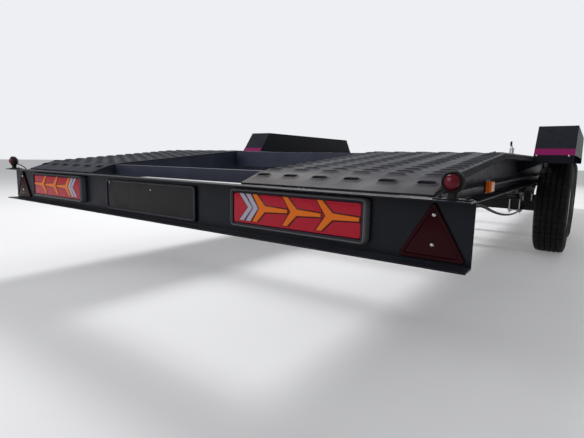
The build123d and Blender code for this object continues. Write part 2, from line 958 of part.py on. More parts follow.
with BuildPart() as marker_lenses:
    for side, sign in sides:
        centre = (sign * marker_x, at(marker_front - marker_body_depth), marker_z)
        with BuildSketch(Plane(origin=centre, x_dir=(1, 0, 0), z_dir=(0, 0, 1))):
            Polygon(
                (0, 0),
                (0, -marker_lens_dome),
                (0.6 * marker_lens_radius, -marker_lens_dome),
                (marker_lens_radius, -0.4 * marker_lens_dome),
                (marker_lens_radius, 0),
            )
        revolve(axis=Axis(centre, (0, 1, 0)))
write(marker_lenses.part, "marker_lenses")

# Amber side markers on a black base, on the side beam's outer edge
side_marker_z = side_ledge - side_marker_drop
side_marker_stations = (
    crest_station - ramp_marker_setback,
    axle_group_station + middle_marker_lead,
    bed_length - front_marker_setback,
)
with BuildPart() as side_marker_bases:
    for side, sign in sides:
        for station in side_marker_stations:
            with BuildSketch(side_plane(sign * side_outer)):
                with Locations((at(station), side_marker_z)):
                    Rectangle(
                        side_marker_length + 2 * side_marker_border,
                        side_marker_height + 2 * side_marker_border,
                    )
            extrude(amount=sign * side_marker_base)
write(side_marker_bases.part, "side_marker_bases")

side_marker_face = side_outer + side_marker_base + side_marker_depth
with BuildPart() as side_marker_lenses:
    for side, sign in sides:
        for station in side_marker_stations:
            with BuildSketch(side_plane(sign * (side_outer + side_marker_base))):
                with Locations((at(station), side_marker_z)):
                    Rectangle(side_marker_length, side_marker_height)
            extrude(amount=sign * side_marker_depth)
    outer_faces = side_marker_lenses.faces().filter_by(
        lambda face: abs(face.center().X) > side_marker_face - seat_gap
    )
    chamfer(outer_faces.edges(), length=side_marker_taper)
write(side_marker_lenses.part, "side_marker_lenses")

# Drawbar arms, two box tubes that close in towards the coupling
arm_front_x = head_half
arm_angle = atan2(arm_rear_x - arm_front_x, arm_front_station - arm_rear_station)
arm_length = hypot(arm_rear_x - arm_front_x, arm_front_station - arm_rear_station)
arm_middle_z = front_beam_bottom - arm_height / 2
with BuildPart() as drawbar_arms:
    for side, sign in sides:
        arm_plane = Plane(
            origin=(sign * arm_rear_x, at(arm_rear_station), arm_middle_z),
            x_dir=(cos(arm_angle), sign * sin(arm_angle), 0),
            z_dir=(-sign * sin(arm_angle), cos(arm_angle), 0),
        )
        with BuildSketch(arm_plane):
            Rectangle(arm_width, arm_height)
            Rectangle(arm_width - 2 * steel, arm_height - 2 * steel, mode=Mode.SUBTRACT)
        extrude(amount=arm_length)
write(drawbar_arms.part, "drawbar_arms")


def arm_edge(station, outward):
    """X of an arm's outer or inner face at a station."""
    share = (station - arm_rear_station) / (arm_front_station - arm_rear_station)
    middle = arm_rear_x + share * (arm_front_x - arm_rear_x)
    return middle + outward * arm_width / 2 / cos(arm_angle)


# Head plates above and below the arms' front ends
head_plate_rear = arm_front_station - head_plate_length
head_top = front_beam_bottom + head_plate_wall
with BuildPart() as head_plates:
    for level in (front_beam_bottom, front_beam_bottom - arm_height - head_plate_wall):
        with BuildSketch(Plane.XY.offset(level)):
            Polygon(
                (-arm_edge(head_plate_rear, 1), at(head_plate_rear)),
                (arm_edge(head_plate_rear, 1), at(head_plate_rear)),
                (arm_edge(arm_front_station, 1), at(arm_front_station)),
                (-arm_edge(arm_front_station, 1), at(arm_front_station)),
            )
        extrude(amount=head_plate_wall)
write(head_plates.part, "drawbar_head_plates")

# Overrun housing between the plates, with the guide tube and the shaft in front
housing_rear = arm_front_station - housing_length
housing_front = arm_front_station + guide_length
gaiter_front = housing_front + gaiter_length
with BuildPart() as housing:
    with BuildSketch(face_plane(housing_rear)):
        with Locations((0, arm_middle_z)):
            Rectangle(housing_width, arm_height)
    extrude(amount=-housing_length)
    with BuildSketch(face_plane(arm_front_station)):
        with Locations((0, coupling_z)):
            Circle(guide_radius)
    extrude(amount=-guide_length)
    with BuildSketch(face_plane(housing_front)):
        with Locations((0, coupling_z)):
            Circle(shaft_radius)
    extrude(amount=-gaiter_length)
write(housing.part, "overrun_housing")

# Bellows gaiter around the shaft
fold_pitch = gaiter_length / gaiter_folds
gaiter_points = []
for i in range(gaiter_folds):
    gaiter_points.append((i * fold_pitch, gaiter_radius - gaiter_valley))
    gaiter_points.append(((i + 0.5) * fold_pitch, gaiter_radius))
with BuildPart() as gaiter:
    gaiter_plane = Plane(
        origin=(0, at(housing_front), coupling_z), x_dir=(0, 1, 0), z_dir=(1, 0, 0)
    )
    with BuildSketch(gaiter_plane):
        Polygon(
            (0, shaft_radius + seat_gap),
            *gaiter_points,
            (gaiter_length, gaiter_radius - gaiter_valley),
            (gaiter_length, shaft_radius + seat_gap),
        )
    revolve(axis=Axis((0, at(housing_front), coupling_z), (0, 1, 0)))
write(gaiter.part, "overrun_gaiter")

# Coupling head: a chamfered cup with the ball socket below, a neck that tapers to a collar
socket_station = nose_station - coupling_cup_radius
neck_rear = gaiter_front + collar_length / 2
with BuildPart() as coupling:
    with BuildSketch(Plane.XY.offset(socket_mouth_z)):
        with Locations((0, at(socket_station))):
            Circle(coupling_cup_radius)
    extrude(amount=cup_top_z - socket_mouth_z)
    chamfer(coupling.edges().group_by(Axis.Z)[-1], length=coupling_chamfer)
    with BuildSketch(Plane.XY.offset(neck_bottom_z)):
        Polygon(
            (-neck_radius, at(neck_rear)),
            (neck_radius, at(neck_rear)),
            (coupling_cup_radius - seat_gap, at(socket_station)),
            (seat_gap - coupling_cup_radius, at(socket_station)),
        )
    extrude(amount=neck_top_z - neck_bottom_z)
    with BuildSketch(face_plane(gaiter_front)):
        with Locations((0, coupling_z)):
            Circle(collar_radius)
    extrude(amount=-collar_length)
    with BuildSketch(Plane.XY.offset(socket_mouth_z)):
        with Locations((0, at(socket_station))):
            Circle(coupling_socket_radius)
    extrude(amount=coupling_socket_depth, mode=Mode.SUBTRACT)
write(coupling.part, "coupling_head")

# Coupling handle: a lever that lies back over the neck
handle_z = cup_top_z + seat_gap
cup_flat = coupling_cup_radius - coupling_chamfer
with BuildPart() as coupling_handle:
    with BuildSketch(side_plane(-handle_width / 2)):
        Polygon(
            (at(socket_station) + 0.7 * cup_flat, handle_z),
            (at(socket_station) + 0.4 * cup_flat, handle_z + 2 * handle_wall),
            (at(socket_station - handle_length), handle_z + handle_lift + handle_wall),
            (at(socket_station - handle_length), handle_z + handle_lift),
            (at(socket_station) - 0.9 * cup_flat, handle_z),
        )
    extrude(amount=handle_width)
write(coupling_handle.part, "coupling_handle")

# Handbrake: quadrant plate on the head, lever arm and grip
lever_y = at(arm_front_station - lever_setback)
lever_z = head_top + lever_rise
lever_angle = radians(38)
lever_face = shaft_radius + quadrant_wall
with BuildPart() as handbrake:
    with BuildSketch(side_plane(shaft_radius)):
        with BuildLine():
            Line((lever_y - quadrant_radius, head_top), (lever_y + quadrant_radius, head_top))
            ThreePointArc(
                (lever_y + quadrant_radius, head_top),
                (lever_y, head_top + quadrant_radius),
                (lever_y - quadrant_radius, head_top),
            )
        make_face()
    extrude(amount=quadrant_wall)
    with BuildSketch(side_plane(lever_face)):
        with Locations(Location((lever_y, lever_z, 0), (0, 0, 142))):
            Rectangle(lever_length, lever_width, align=(Align.MIN, Align.CENTER))
            Circle(lever_width / 2)
    extrude(amount=lever_wall)
    grip_start = Plane(
        origin=(
            lever_face + lever_wall / 2,
            lever_y - (lever_length - grip_length) * cos(lever_angle),
            lever_z + (lever_length - grip_length) * sin(lever_angle),
        ),
        z_dir=(0, -cos(lever_angle), sin(lever_angle)),
    )
    with BuildSketch(grip_start):
        Circle(grip_radius)
    extrude(amount=grip_length)
write(handbrake.part, "handbrake_lever")

# Brake rod from the overrun housing back to an equaliser plate on the front axle
rod_z = arm_middle_z - brake_rod_drop
with BuildPart() as brake_linkage:
    with BuildSketch(Plane.XY.offset(axle_z + axle_tube / 2)):
        with Locations((0, at(front_axle_station))):
            Rectangle(equaliser_width, seat_wall)
    extrude(amount=rod_z + equaliser_height / 2 - axle_z - axle_tube / 2)
    with BuildSketch(face_plane(front_axle_station)):
        with Locations((0, rod_z)):
            Circle(brake_rod_radius)
    extrude(amount=front_axle_station - housing_rear)
write(brake_linkage.part, "brake_linkage")

# Jockey wheel: clamp on the drawbar, outer tube, sliding leg, fork and wheel
jockey_x = arm_edge(jockey_station, 1) + jockey_offset
jockey_y = at(jockey_station)
leg_radius = jockey_tube_radius - jockey_tube_wall - jockey_leg_fit
spigot_height = jockey_tube_bottom - jockey_fork_top - jockey_travel
clamp_rear = jockey_station - jockey_clamp_reach
clamp_front = jockey_station + jockey_clamp_reach
with BuildPart() as jockey_clamp:
    with BuildSketch(Plane.XY.offset(arm_middle_z - jockey_clamp_half)):
        Polygon(
            (arm_edge(clamp_rear, 1), at(clamp_rear)),
            (jockey_x, at(clamp_rear)),
            (jockey_x, at(clamp_front)),
            (arm_edge(clamp_front, 1), at(clamp_front)),
        )
        with Locations((jockey_x, jockey_y)):
            Circle(jockey_clamp_radius)
            Circle(jockey_tube_radius + seat_gap, mode=Mode.SUBTRACT)
    extrude(amount=2 * jockey_clamp_half)
write(jockey_clamp.part, "jockey_clamp")

with BuildPart() as jockey_tube:
    with BuildSketch(Plane.XY.offset(jockey_tube_bottom)):
        with Locations((jockey_x, jockey_y)):
            Circle(jockey_tube_radius)
            Circle(jockey_tube_radius - jockey_tube_wall, mode=Mode.SUBTRACT)
    extrude(amount=jockey_tube_top - jockey_tube_bottom)
    # Cap, crank neck, crank arm and its grip
    with BuildSketch(Plane.XY.offset(jockey_tube_top)):
        with Locations((jockey_x, jockey_y)):
            Circle(jockey_tube_radius)
    extrude(amount=jockey_cap_height)
    neck_z = jockey_tube_top + jockey_cap_height
    with BuildSketch(Plane.XY.offset(neck_z)):
        with Locations((jockey_x, jockey_y)):
            Circle(crank_radius)
    extrude(amount=crank_neck)
    with BuildSketch(Plane.XY.offset(neck_z + crank_neck)):
        with Locations((jockey_x, jockey_y - crank_arm / 2)):
            SlotCenterToCenter(crank_arm, crank_arm_width, rotation=90)
    extrude(amount=crank_arm_wall)
    with BuildSketch(Plane.XY.offset(neck_z + crank_neck + crank_arm_wall)):
        with Locations((jockey_x, jockey_y - crank_arm)):
            Circle(crank_grip_radius)
    extrude(amount=crank_grip_height)
write(jockey_tube.part, "jockey_tube")

with BuildPart() as jockey_leg:
    with BuildSketch(Plane.XY.offset(jockey_fork_top + seat_gap)):
        with Locations((jockey_x, jockey_y)):
            Circle(leg_radius)
    extrude(amount=jockey_leg_top - jockey_fork_top - seat_gap)
    with BuildSketch(Plane.XY.offset(jockey_fork_top + seat_gap)):
        with Locations((jockey_x, jockey_y)):
            Circle(spigot_radius + pin_fit)
    extrude(amount=spigot_height, mode=Mode.SUBTRACT)
write(jockey_leg.part, "jockey_leg")

wheel_y = jockey_y - jockey_trail
fork_gap = jockey_wheel_width / 2 + running_gap
with BuildPart() as jockey_fork:
    with BuildSketch(Plane.XY.offset(jockey_fork_top - fork_wall)):
        with Locations((jockey_x, jockey_y - jockey_trail / 2)):
            Rectangle(2 * (fork_gap + fork_wall), 2 * leg_radius + jockey_trail)
    extrude(amount=fork_wall)
    for cheek in (-1, 1):
        with BuildSketch(side_plane(jockey_x + cheek * fork_gap)):
            Polygon(
                (jockey_y + fork_root_half, jockey_fork_top),
                (wheel_y - fork_root_half, jockey_fork_top),
                (wheel_y - fork_foot_half, jockey_wheel_radius - fork_foot_half),
                (wheel_y + fork_foot_half, jockey_wheel_radius - fork_foot_half),
            )
        extrude(amount=cheek * fork_wall)
    with BuildSketch(side_plane(jockey_x - fork_gap - fork_wall)):
        with Locations((wheel_y, jockey_wheel_radius)):
            Circle(pin_radius)
    extrude(amount=2 * (fork_gap + fork_wall))
    with BuildSketch(Plane.XY.offset(jockey_fork_top)):
        with Locations((jockey_x, jockey_y)):
            Circle(spigot_radius)
    extrude(amount=spigot_height - running_gap)
write(jockey_fork.part, "jockey_fork")

with BuildPart() as jockey_wheel:
    half = jockey_wheel_width / 2
    wheel_centre = (jockey_x, wheel_y, jockey_wheel_radius)
    with BuildSketch(Plane(origin=wheel_centre, x_dir=(1, 0, 0), z_dir=(0, -1, 0))):
        Polygon(
            (-half, pin_radius + pin_fit),
            (-half, jockey_wheel_radius - jockey_wheel_edge),
            (-half + jockey_wheel_edge, jockey_wheel_radius),
            (half - jockey_wheel_edge, jockey_wheel_radius),
            (half, jockey_wheel_radius - jockey_wheel_edge),
            (half, pin_radius + pin_fit),
        )
    revolve(axis=Axis(wheel_centre, (1, 0, 0)))
write(jockey_wheel.part, "jockey_wheel")

# Lighting cable from a gland behind the rear beam's right end to a clip on the rear axle.
# Columns: inset from the gland, run forwards and drop, for a bed of the present size
cable_radius = 3.75
gland_inset = 15.0
gland_drop = 18.0
gland_radius = 9.0
gland_length = 14.0
clip_size = 16.0
clip_length = 14.0
clip_drop = 8.5
cable_table = (
    (0.0, 0.0, 0.0),
    (0.0, 78.0, 0.0),
    (5.0, 178.0, 13.0),
    (12.0, 280.0, 29.5),
    (20.0, 386.0, 45.5),
    (28.0, 492.0, 60.5),
    (36.0, 598.0, 74.5),
    (44.0, 704.0, 87.5),
    (52.0, 810.0, 100.0),
    (60.0, 916.0, 111.5),
    (68.0, 1022.0, 122.5),
    (76.0, 1128.0, 133.0),
    (84.0, 1234.0, 142.7),
    (92.0, 1340.0, 151.7),
    (100.0, 1446.0, 160.0),
    (108.0, 1552.0, 167.7),
    (116.0, 1658.0, 174.8),
    (124.0, 1764.0, 181.3),
    (132.0, 1870.0, 187.2),
    (140.0, 1976.0, 192.5),
    (149.0, 2080.0, 197.4),
    (160.0, 2185.0, 201.5),
    (160.0, 2278.0, 201.5),
)
gland_x = beam_width / 2 - gland_inset
gland_z = beam_top - gland_drop
gland_face = steel + gland_length
clip_face = rear_axle_station - axle_tube / 2 - clip_length
last_inset, last_run, last_drop = cable_table[-1]
across = (gland_x - side_web) / last_inset
along = (clip_face - gland_face) / last_run
down = (gland_z - axle_z + clip_drop) / last_drop
route = [
    Vector(gland_x - across * inset, at(gland_face + along * run), gland_z - down * drop)
    for inset, run, drop in cable_table
]
cable_fillets = []
for before, corner, after in zip(route, route[1:], route[2:]):
    turn = radians((corner - before).get_angle(after - corner))
    run = min((corner - before).length, (after - corner).length)
    cable_fillets.append(0.45 * run / tan(turn / 2))
print("cable radii", [round(r) for r in cable_fillets])
with BuildPart() as cable:
    with BuildLine() as cable_path:
        FilletPolyline(*route, radius=cable_fillets)
    with BuildSketch(Plane(origin=route[0], z_dir=route[1] - route[0])):
        Circle(cable_radius)
    sweep(path=cable_path.line)
write(cable.part, "rear_cable")

with BuildPart() as cable_fittings:
    with BuildSketch(face_plane(steel)):
        with Locations((route[0].X, route[0].Z)):
            Circle(gland_radius)
    extrude(amount=-gland_length)
    with BuildSketch(face_plane(clip_face)):
        with Locations((route[-1].X, route[-1].Z)):
            Rectangle(clip_size, clip_size)
    extrude(amount=-clip_length)
write(cable_fittings.part, "cable_fittings")
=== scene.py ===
import json
from math import cos, pi, radians, sin

import bmesh
import bpy
from mathutils import Matrix, Vector


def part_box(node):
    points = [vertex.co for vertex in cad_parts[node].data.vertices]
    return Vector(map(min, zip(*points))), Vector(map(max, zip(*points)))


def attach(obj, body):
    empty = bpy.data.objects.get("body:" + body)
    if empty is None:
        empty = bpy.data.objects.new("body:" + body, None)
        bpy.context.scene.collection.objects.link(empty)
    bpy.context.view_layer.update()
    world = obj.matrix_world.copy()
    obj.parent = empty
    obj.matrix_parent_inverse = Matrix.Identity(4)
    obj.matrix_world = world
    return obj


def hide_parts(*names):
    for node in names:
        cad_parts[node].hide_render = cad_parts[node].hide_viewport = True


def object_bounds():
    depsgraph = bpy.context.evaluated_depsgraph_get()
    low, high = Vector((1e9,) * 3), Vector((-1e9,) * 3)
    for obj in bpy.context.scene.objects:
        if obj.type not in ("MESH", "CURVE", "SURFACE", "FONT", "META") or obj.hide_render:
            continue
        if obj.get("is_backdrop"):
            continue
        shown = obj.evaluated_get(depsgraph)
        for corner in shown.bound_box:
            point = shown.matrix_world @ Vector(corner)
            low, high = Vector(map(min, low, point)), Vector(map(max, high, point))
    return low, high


# Car transporter trailer. X points to the trailer's right, Y forward, Z up from the ground.
# The frame is in metres; pieces are drawn in millimetres, which Shape turns into metres.

MM = 0.001
SIGNS = (-1, 1)
RIGHT, AHEAD, BEHIND, UP, DOWN = (1, 0, 0), (0, 1, 0), (0, -1, 0), (0, 0, 1), (0, 0, -1)
SIDES = (("left", -1), ("right", 1))
ENDS = ("rear", "front")

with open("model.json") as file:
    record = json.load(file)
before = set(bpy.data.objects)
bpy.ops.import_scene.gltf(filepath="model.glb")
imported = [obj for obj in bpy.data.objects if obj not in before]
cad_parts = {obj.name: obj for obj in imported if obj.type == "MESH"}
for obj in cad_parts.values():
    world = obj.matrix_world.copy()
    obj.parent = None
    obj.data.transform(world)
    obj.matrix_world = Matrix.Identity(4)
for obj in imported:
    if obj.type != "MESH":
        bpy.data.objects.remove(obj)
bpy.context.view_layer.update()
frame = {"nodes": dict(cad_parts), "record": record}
nodes = frame["nodes"]

# The photograph's frame and the camera's angle
PHOTO_WIDTH = 584
FOCAL_PIXELS = 414.2
SENSOR_WIDTH = 36.0
CAMERA_PLACE = Vector((1.3147, -4.3995, 0.591))
CAMERA_YAW = radians(35.647)
CAMERA_PITCH = radians(-8.370)
CAMERA_ROLL = radians(1.12)


def link(name, data):
    """A new object in the scene."""
    obj = bpy.data.objects.new(name, data)
    bpy.context.scene.collection.objects.link(obj)
    return obj


def make_camera():
    """Camera at the photograph's angle: yaw turns left from +Y, roll tips the frame clockwise."""
    data = bpy.data.cameras.new("camera")
    data.sensor_width = SENSOR_WIDTH
    data.lens = FOCAL_PIXELS / PHOTO_WIDTH * SENSOR_WIDTH
    data.clip_start = 0.02
    data.clip_end = 200
    camera = link("camera", data)
    turn = (
        Matrix.Rotation(CAMERA_YAW, 4, "Z")
        @ Matrix.Rotation(pi / 2 + CAMERA_PITCH, 4, "X")
        @ Matrix.Rotation(CAMERA_ROLL, 4, "Z")
    )
    camera.matrix_world = Matrix.Translation(CAMERA_PLACE) @ turn
    bpy.context.scene.camera = camera


make_camera()
bpy.context.scene.view_settings.view_transform = "Standard"


# ---- node materials

# Upward share of a face's normal where dust starts to lie and where it lies in full
UP_LOW, UP_FULL = 0.3, 0.8

def shade(colour, share, lift=0.0):
    return tuple(share * c + lift for c in colour)


class Nodes:
    """A material's node tree with short calls for the nodes used here."""

    def __init__(self, name):
        self.material = bpy.data.materials.new(name)
        self.material.use_nodes = True
        self.tree = self.material.node_tree
        self.tree.nodes.clear()
        self.shader = self.add("ShaderNodeBsdfPrincipled")
        self.add("ShaderNodeOutputMaterial", {"Surface": self.shader.outputs[0]})
        self.place = self.add("ShaderNodeTexCoord").outputs["Object"]

    def add(self, kind, values=None, **settings):
        """A node with its settings made and its inputs fed."""
        node = self.tree.nodes.new(kind)
        for key, value in settings.items():
            setattr(node, key, value)
        for key, value in (values or {}).items():
            self.feed(node.inputs[key], value)
        return node

    def feed(self, socket, value):
        """Links a socket, or sets it to a colour, a vector or a number."""
        if hasattr(value, "is_output"):
            self.tree.links.new(value, socket)
        elif hasattr(value, "__len__"):
            socket.default_value = (*value, 1)[: len(socket.default_value)]
        else:
            socket.default_value = value

    def put(self, name, value):
        self.feed(self.shader.inputs[name], value)

    def split(self, vector):
        return self.add("ShaderNodeSeparateXYZ", {0: vector}).outputs

    def noise(self, scale, detail=4.0, rough=0.55, stretch=None):
        place = self.place
        if stretch:
            place = self.add("ShaderNodeMapping", {"Vector": place, "Scale": stretch}).outputs[0]
        values = {"Vector": place, "Scale": scale, "Detail": detail, "Roughness": rough}
        return self.add("ShaderNodeTexNoise", values).outputs["Fac"]

    def ramp(self, source, *stops):
        """Colour ramp; each stop is a position and a colour or a grey."""
        node = self.add("ShaderNodeValToRGB", {0: source})
        elements = node.color_ramp.elements
        while len(elements) < len(stops):
            elements.new(1.0)
        for element, (position, colour) in zip(elements, stops):
            element.position = position
            grey = not hasattr(colour, "__len__")
            element.color = (colour,) * 3 + (1,) if grey else (*colour, 1)
        return node.outputs["Color"]

    def mix(self, factor, first, second):
        """Mixes two colours; each may be a constant or a link."""
        return self.add("ShaderNodeMix", {0: factor, 6: first, 7: second}, data_type="RGBA").outputs[2]

    def maths(self, operation, first, second):
        return self.add("ShaderNodeMath", {0: first, 1: second}, operation=operation).outputs[0]

    def times(self, first, second):
        return self.maths("MULTIPLY", first, second)

    def upward(self):
        """1 on faces that look up, 0 on the others."""
        normal = self.add("ShaderNodeNewGeometry").outputs["Normal"]
        values = {"Value": self.split(normal)["Z"], "From Min": UP_LOW, "From Max": UP_FULL}
        return self.add("ShaderNodeMapRange", values).outputs[0]

    def bump(self, height, strength, distance):
        """Bump by a height; the distance is in millimetres."""
        values = {"Height": height, "Strength": strength, "Distance": distance * MM}
        self.put("Normal", self.add("ShaderNodeBump", values).outputs[0])


NAVY = (0.0042, 0.0054, 0.0112)
ROAD_DUST = (0.115, 0.118, 0.142)
DECK_DUST = (0.095, 0.098, 0.116)
# Pale colour of the right ramp's rear strip: partly dust, partly painted light from behind
DUST_AND_LIGHT_PALE = (0.24, 0.222, 0.215)
PLASTIC_DUST = (0.013, 0.013, 0.020)
# The pale strip, partly dust and partly painted light falling from behind, in metres: the two Y between which it
# fades out, and its share over X
PALE_PATCH_FRONT = (-3.384, -3.304)
PALE_PATCH_ACROSS = ((0.35, 0.0), (0.42, 1.0), (0.62, 0.75), (0.95, 0.25))


def dusty_paint(name, colour, share, rough=(0.3, 0.5), gloss=0.26, fleck=600.0, dust=ROAD_DUST, pale_dust_and_light=None):
    """Paint with cloudy dust on what looks up, faint run marks and a fine orange-peel surface; where asked, a pale
    patch that is partly dust and partly painted light.
    """
    n = Nodes(name)
    cloud = n.ramp(n.noise(2.6, 6.0, 0.62), (0.32, 0.25), (0.72, 1.0))
    speck = n.ramp(n.noise(90.0, 3.0, 0.7), (0.42, 0.55), (0.66, 1.0))
    streak = n.ramp(n.noise(5.0, 4.0, 0.6, (6.0, 6.0, 0.6)), (0.45, 0.0), (0.8, 0.35))
    settled = n.times(n.times(cloud, speck), n.upward())
    amount = n.maths("MAXIMUM", n.times(settled, share), n.times(streak, share * 0.15))
    paint = n.ramp(n.noise(7.0, 5.0), (0.3, shade(colour, 0.78)), (0.7, shade(colour, 1.2)))
    coat = n.mix(amount, paint, dust)
    if pale_dust_and_light:
        # The right ramp's rear strip is painted pale: partly dust, partly painted light from behind
        place = n.split(n.place)
        front, back = (-y / 4 for y in reversed(PALE_PATCH_FRONT))
        near = n.ramp(n.times(place["Y"], -0.25), (front, 0.0), (back, 1.0))
        patch = n.ramp(n.noise(8.0, 5.0, 0.6), (0.3, 0.35), (0.65, 0.85))
        dust_and_light_share = n.times(n.times(near, n.ramp(place["X"], *PALE_PATCH_ACROSS)), n.times(patch, n.upward()))
        coat = n.mix(dust_and_light_share, coat, pale_dust_and_light)
    n.put("Base Color", coat)
    dulled = n.maths("ADD", n.noise(18.0, 5.0), n.times(amount, 0.5))
    n.put("Roughness", n.ramp(dulled, (0.35, rough[0]), (1.0, rough[1])))
    n.put("Specular IOR Level", gloss)
    n.bump(n.maths("ADD", n.noise(fleck, 2.0), n.noise(70.0, 3.0)), 0.12, 0.4)
    return n.material


def bare_metal(name, colour, rough=(0.25, 0.5), metallic=1.0):
    """Zinc or steel with blotches, fine scratches and a little grime."""
    n = Nodes(name)
    blotch = n.noise(35.0, 5.0, 0.6)
    scratch = n.noise(420.0, 3.0, 0.7)
    grime = n.ramp(n.noise(14.0, 6.0, 0.7), (0.5, 0.0), (0.75, 0.5))
    metal = n.ramp(blotch, (0.3, shade(colour, 0.72)), (0.7, colour))
    n.put("Base Color", n.mix(grime, metal, shade(colour, 0.25)))
    n.put("Metallic", metallic)
    wear = n.times(n.maths("ADD", blotch, scratch), 0.5)
    n.put("Roughness", n.ramp(wear, (0.35, rough[0]), (0.65, rough[1])))
    n.bump(scratch, 0.1, 0.3)
    return n.material


def rubber(name, colour, dust):
    """Matt rubber with a dusty bloom."""
    n = Nodes(name)
    bloom = n.ramp(n.noise(9.0, 6.0, 0.65), (0.42, 0.0), (0.8, 0.55))
    n.put("Base Color", n.mix(bloom, colour, dust))
    n.put("Roughness", n.ramp(n.noise(60.0), (0.3, 0.55), (0.7, 0.85)))
    n.put("Specular IOR Level", 0.22)
    n.bump(n.noise(350.0, 3.0, 0.6), 0.25, 0.3)
    return n.material


def plastic(name, colour, rough=(0.35, 0.5)):
    """Moulded plastic with a fine grain and faint dust."""
    n = Nodes(name)
    dust = n.ramp(n.noise(22.0, 5.0, 0.65), (0.5, 0.0), (0.85, 0.3))
    n.put("Base Color", n.mix(dust, colour, tuple(0.5 * c + d for c, d in zip(colour, PLASTIC_DUST))))
    n.put("Roughness", n.ramp(n.noise(30.0), (0.3, rough[0]), (0.7, rough[1])))
    n.put("Specular IOR Level", 0.2)
    n.bump(n.noise(900.0, 2.0), 0.15, 0.15)
    return n.material


def lens(name, colour, deep, gloss=0.2, cell=5.0):
    """Coloured lens: a glossy skin over a pattern of small prisms, each a cell in millimetres."""
    n = Nodes(name)
    values = {"Vector": n.place, "Scale": 1 / (cell * MM), "Randomness": 0.0}
    cells = n.add("ShaderNodeTexVoronoi", values, distance="CHEBYCHEV").outputs["Distance"]
    prism = n.ramp(cells, (0.0, colour), (0.75, deep))
    haze = n.ramp(n.noise(12.0, 5.0, 0.6), (0.4, 0.0), (0.85, 0.10))
    n.put("Base Color", n.mix(haze, prism, shade(colour, 0.6, 0.008)))
    n.put("Roughness", n.ramp(n.noise(50.0), (0.3, 0.12), (0.7, 0.26)))
    n.put("Specular IOR Level", gloss)
    n.put("Coat Weight", 0.4 * gloss)
    n.put("Coat Roughness", 0.06)
    n.bump(cells, 0.12, 0.6)
    return n.material


# Each look: its maker and the settings that follow the name
LOOKS = {
    "frame_paint": (dusty_paint, NAVY, 0.42, (0.3, 0.5), 0.18),
    # The deck paint's pale patch on the right ramp's rear strip is partly dust, partly painted light
    "deck_paint": (dusty_paint, (0.024, 0.025, 0.031), 0.9, (0.55, 0.75), 0.07, 600.0, DECK_DUST, DUST_AND_LIGHT_PALE),
    "axle_paint": (dusty_paint, (0.010, 0.010, 0.011), 0.35, (0.4, 0.6)),
    "spring_steel": (dusty_paint, (0.022, 0.021, 0.021), 0.4, (0.4, 0.6)),
    "zinc_steel": (bare_metal, (0.62, 0.63, 0.64)),
    "cast_black": (dusty_paint, (0.013, 0.013, 0.014), 0.35, (0.35, 0.55), 0.26, 260.0),
    "wheel_silver": (bare_metal, (0.50, 0.51, 0.53), (0.3, 0.45), 0.75),
    "tyre": (rubber, (0.0048, 0.0050, 0.0054), (0.022, 0.021, 0.020)),
    "black_rubber": (rubber, (0.007, 0.007, 0.0075), (0.022, 0.022, 0.023)),
    "black_plastic": (plastic, (0.0065, 0.0063, 0.0075)),
    "reflex_frame": (plastic, (0.15, 0.152, 0.165), (0.12, 0.3)),
    "lamp_red": (lens, (0.56, 0.003, 0.028), (0.34, 0.001, 0.013)),
    "lamp_grey": (lens, (0.62, 0.58, 0.68), (0.34, 0.32, 0.42)),
    "lamp_amber": (lens, (0.90, 0.21, 0.003), (0.74, 0.13, 0.001)),
    "reflector_red": (lens, (0.030, 0.0010, 0.0035), (0.014, 0.0004, 0.0012), 0.07),
    "strip_pink": (lens, (0.33, 0.012, 0.135), (0.20, 0.006, 0.085)),
    "cable_black": (rubber, (0.006, 0.006, 0.006), (0.03, 0.03, 0.03)),
    "lamp_bezel": (plastic, (0.020, 0.017, 0.026), (0.08, 0.2)),
    # A lighter copy of the holder's plastic for the rim's bead: a painted highlight
    "holder_rim": (plastic, (0.042, 0.037, 0.055), (0.25, 0.4)),
    # A lighter, bluer copy of the frame paint: painted light on the crossmembers and inner rails
    "bay_paint": (dusty_paint, (0.030, 0.036, 0.060), 0.6),
    "lamp_dark": (plastic, (0.035, 0.001, 0.006), (0.2, 0.35)),
    "reflector_prism": (lens, (0.042, 0.0010, 0.0045), (0.014, 0.0004, 0.0014), 0.07, 3.0),
    "marker_red": (lens, (0.16, 0.002, 0.012), (0.07, 0.0008, 0.005), 0.2, 4.0),
    # A paler copy of the amber lens for the side lamps' front halves: a painted highlight
    "lamp_amber_pale": (lens, (0.80, 0.34, 0.16), (0.62, 0.20, 0.07)),
}
MATERIALS = {name: make(name, *settings) for name, (make, *settings) in LOOKS.items()}

# ---- the record's slot of every carried-over node, and a small bevel on its edges

WELD = 0.01 * MM
NODE_BEVEL = 1.0
BEVEL_ANGLE = radians(30)
# The crossmembers and inner rails take the lighter copy of the frame paint, a painted light
OWN_LOOKS = {"crossmembers": "bay_paint", "inner_rails": "bay_paint"}


def soften(obj, width):
    """A small bevel on an object's sharp edges."""
    bevel = obj.modifiers.new("bevel", "BEVEL")
    bevel.width = width * MM
    bevel.segments = 2
    bevel.limit_method = "ANGLE"
    bevel.angle_limit = BEVEL_ANGLE
    bevel.harden_normals = True


slot_of = {row["node"]: row["material_slot"] for row in frame["record"]["subparts"]}
for name, node in nodes.items():
    node.data.materials.clear()
    node.data.materials.append(MATERIALS[OWN_LOOKS.get(name, slot_of[name])])
    node.modifiers.new("weld", "WELD").merge_threshold = WELD
    soften(node, NODE_BEVEL)


# ---- building pieces

SMOOTH_ANGLE = radians(35)


def low(node):
    """A node's lowest corner in millimetres."""
    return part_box(node)[0] / MM


def high(node):
    """A node's highest corner in millimetres."""
    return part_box(node)[1] / MM


def middle(node):
    return (low(node) + high(node)) / 2


def directions(axis):
    """Three unit vectors: along an axis and two across it."""
    along = Vector(axis).normalized()
    across = along.orthogonal().normalized()
    return along, across, along.cross(across)


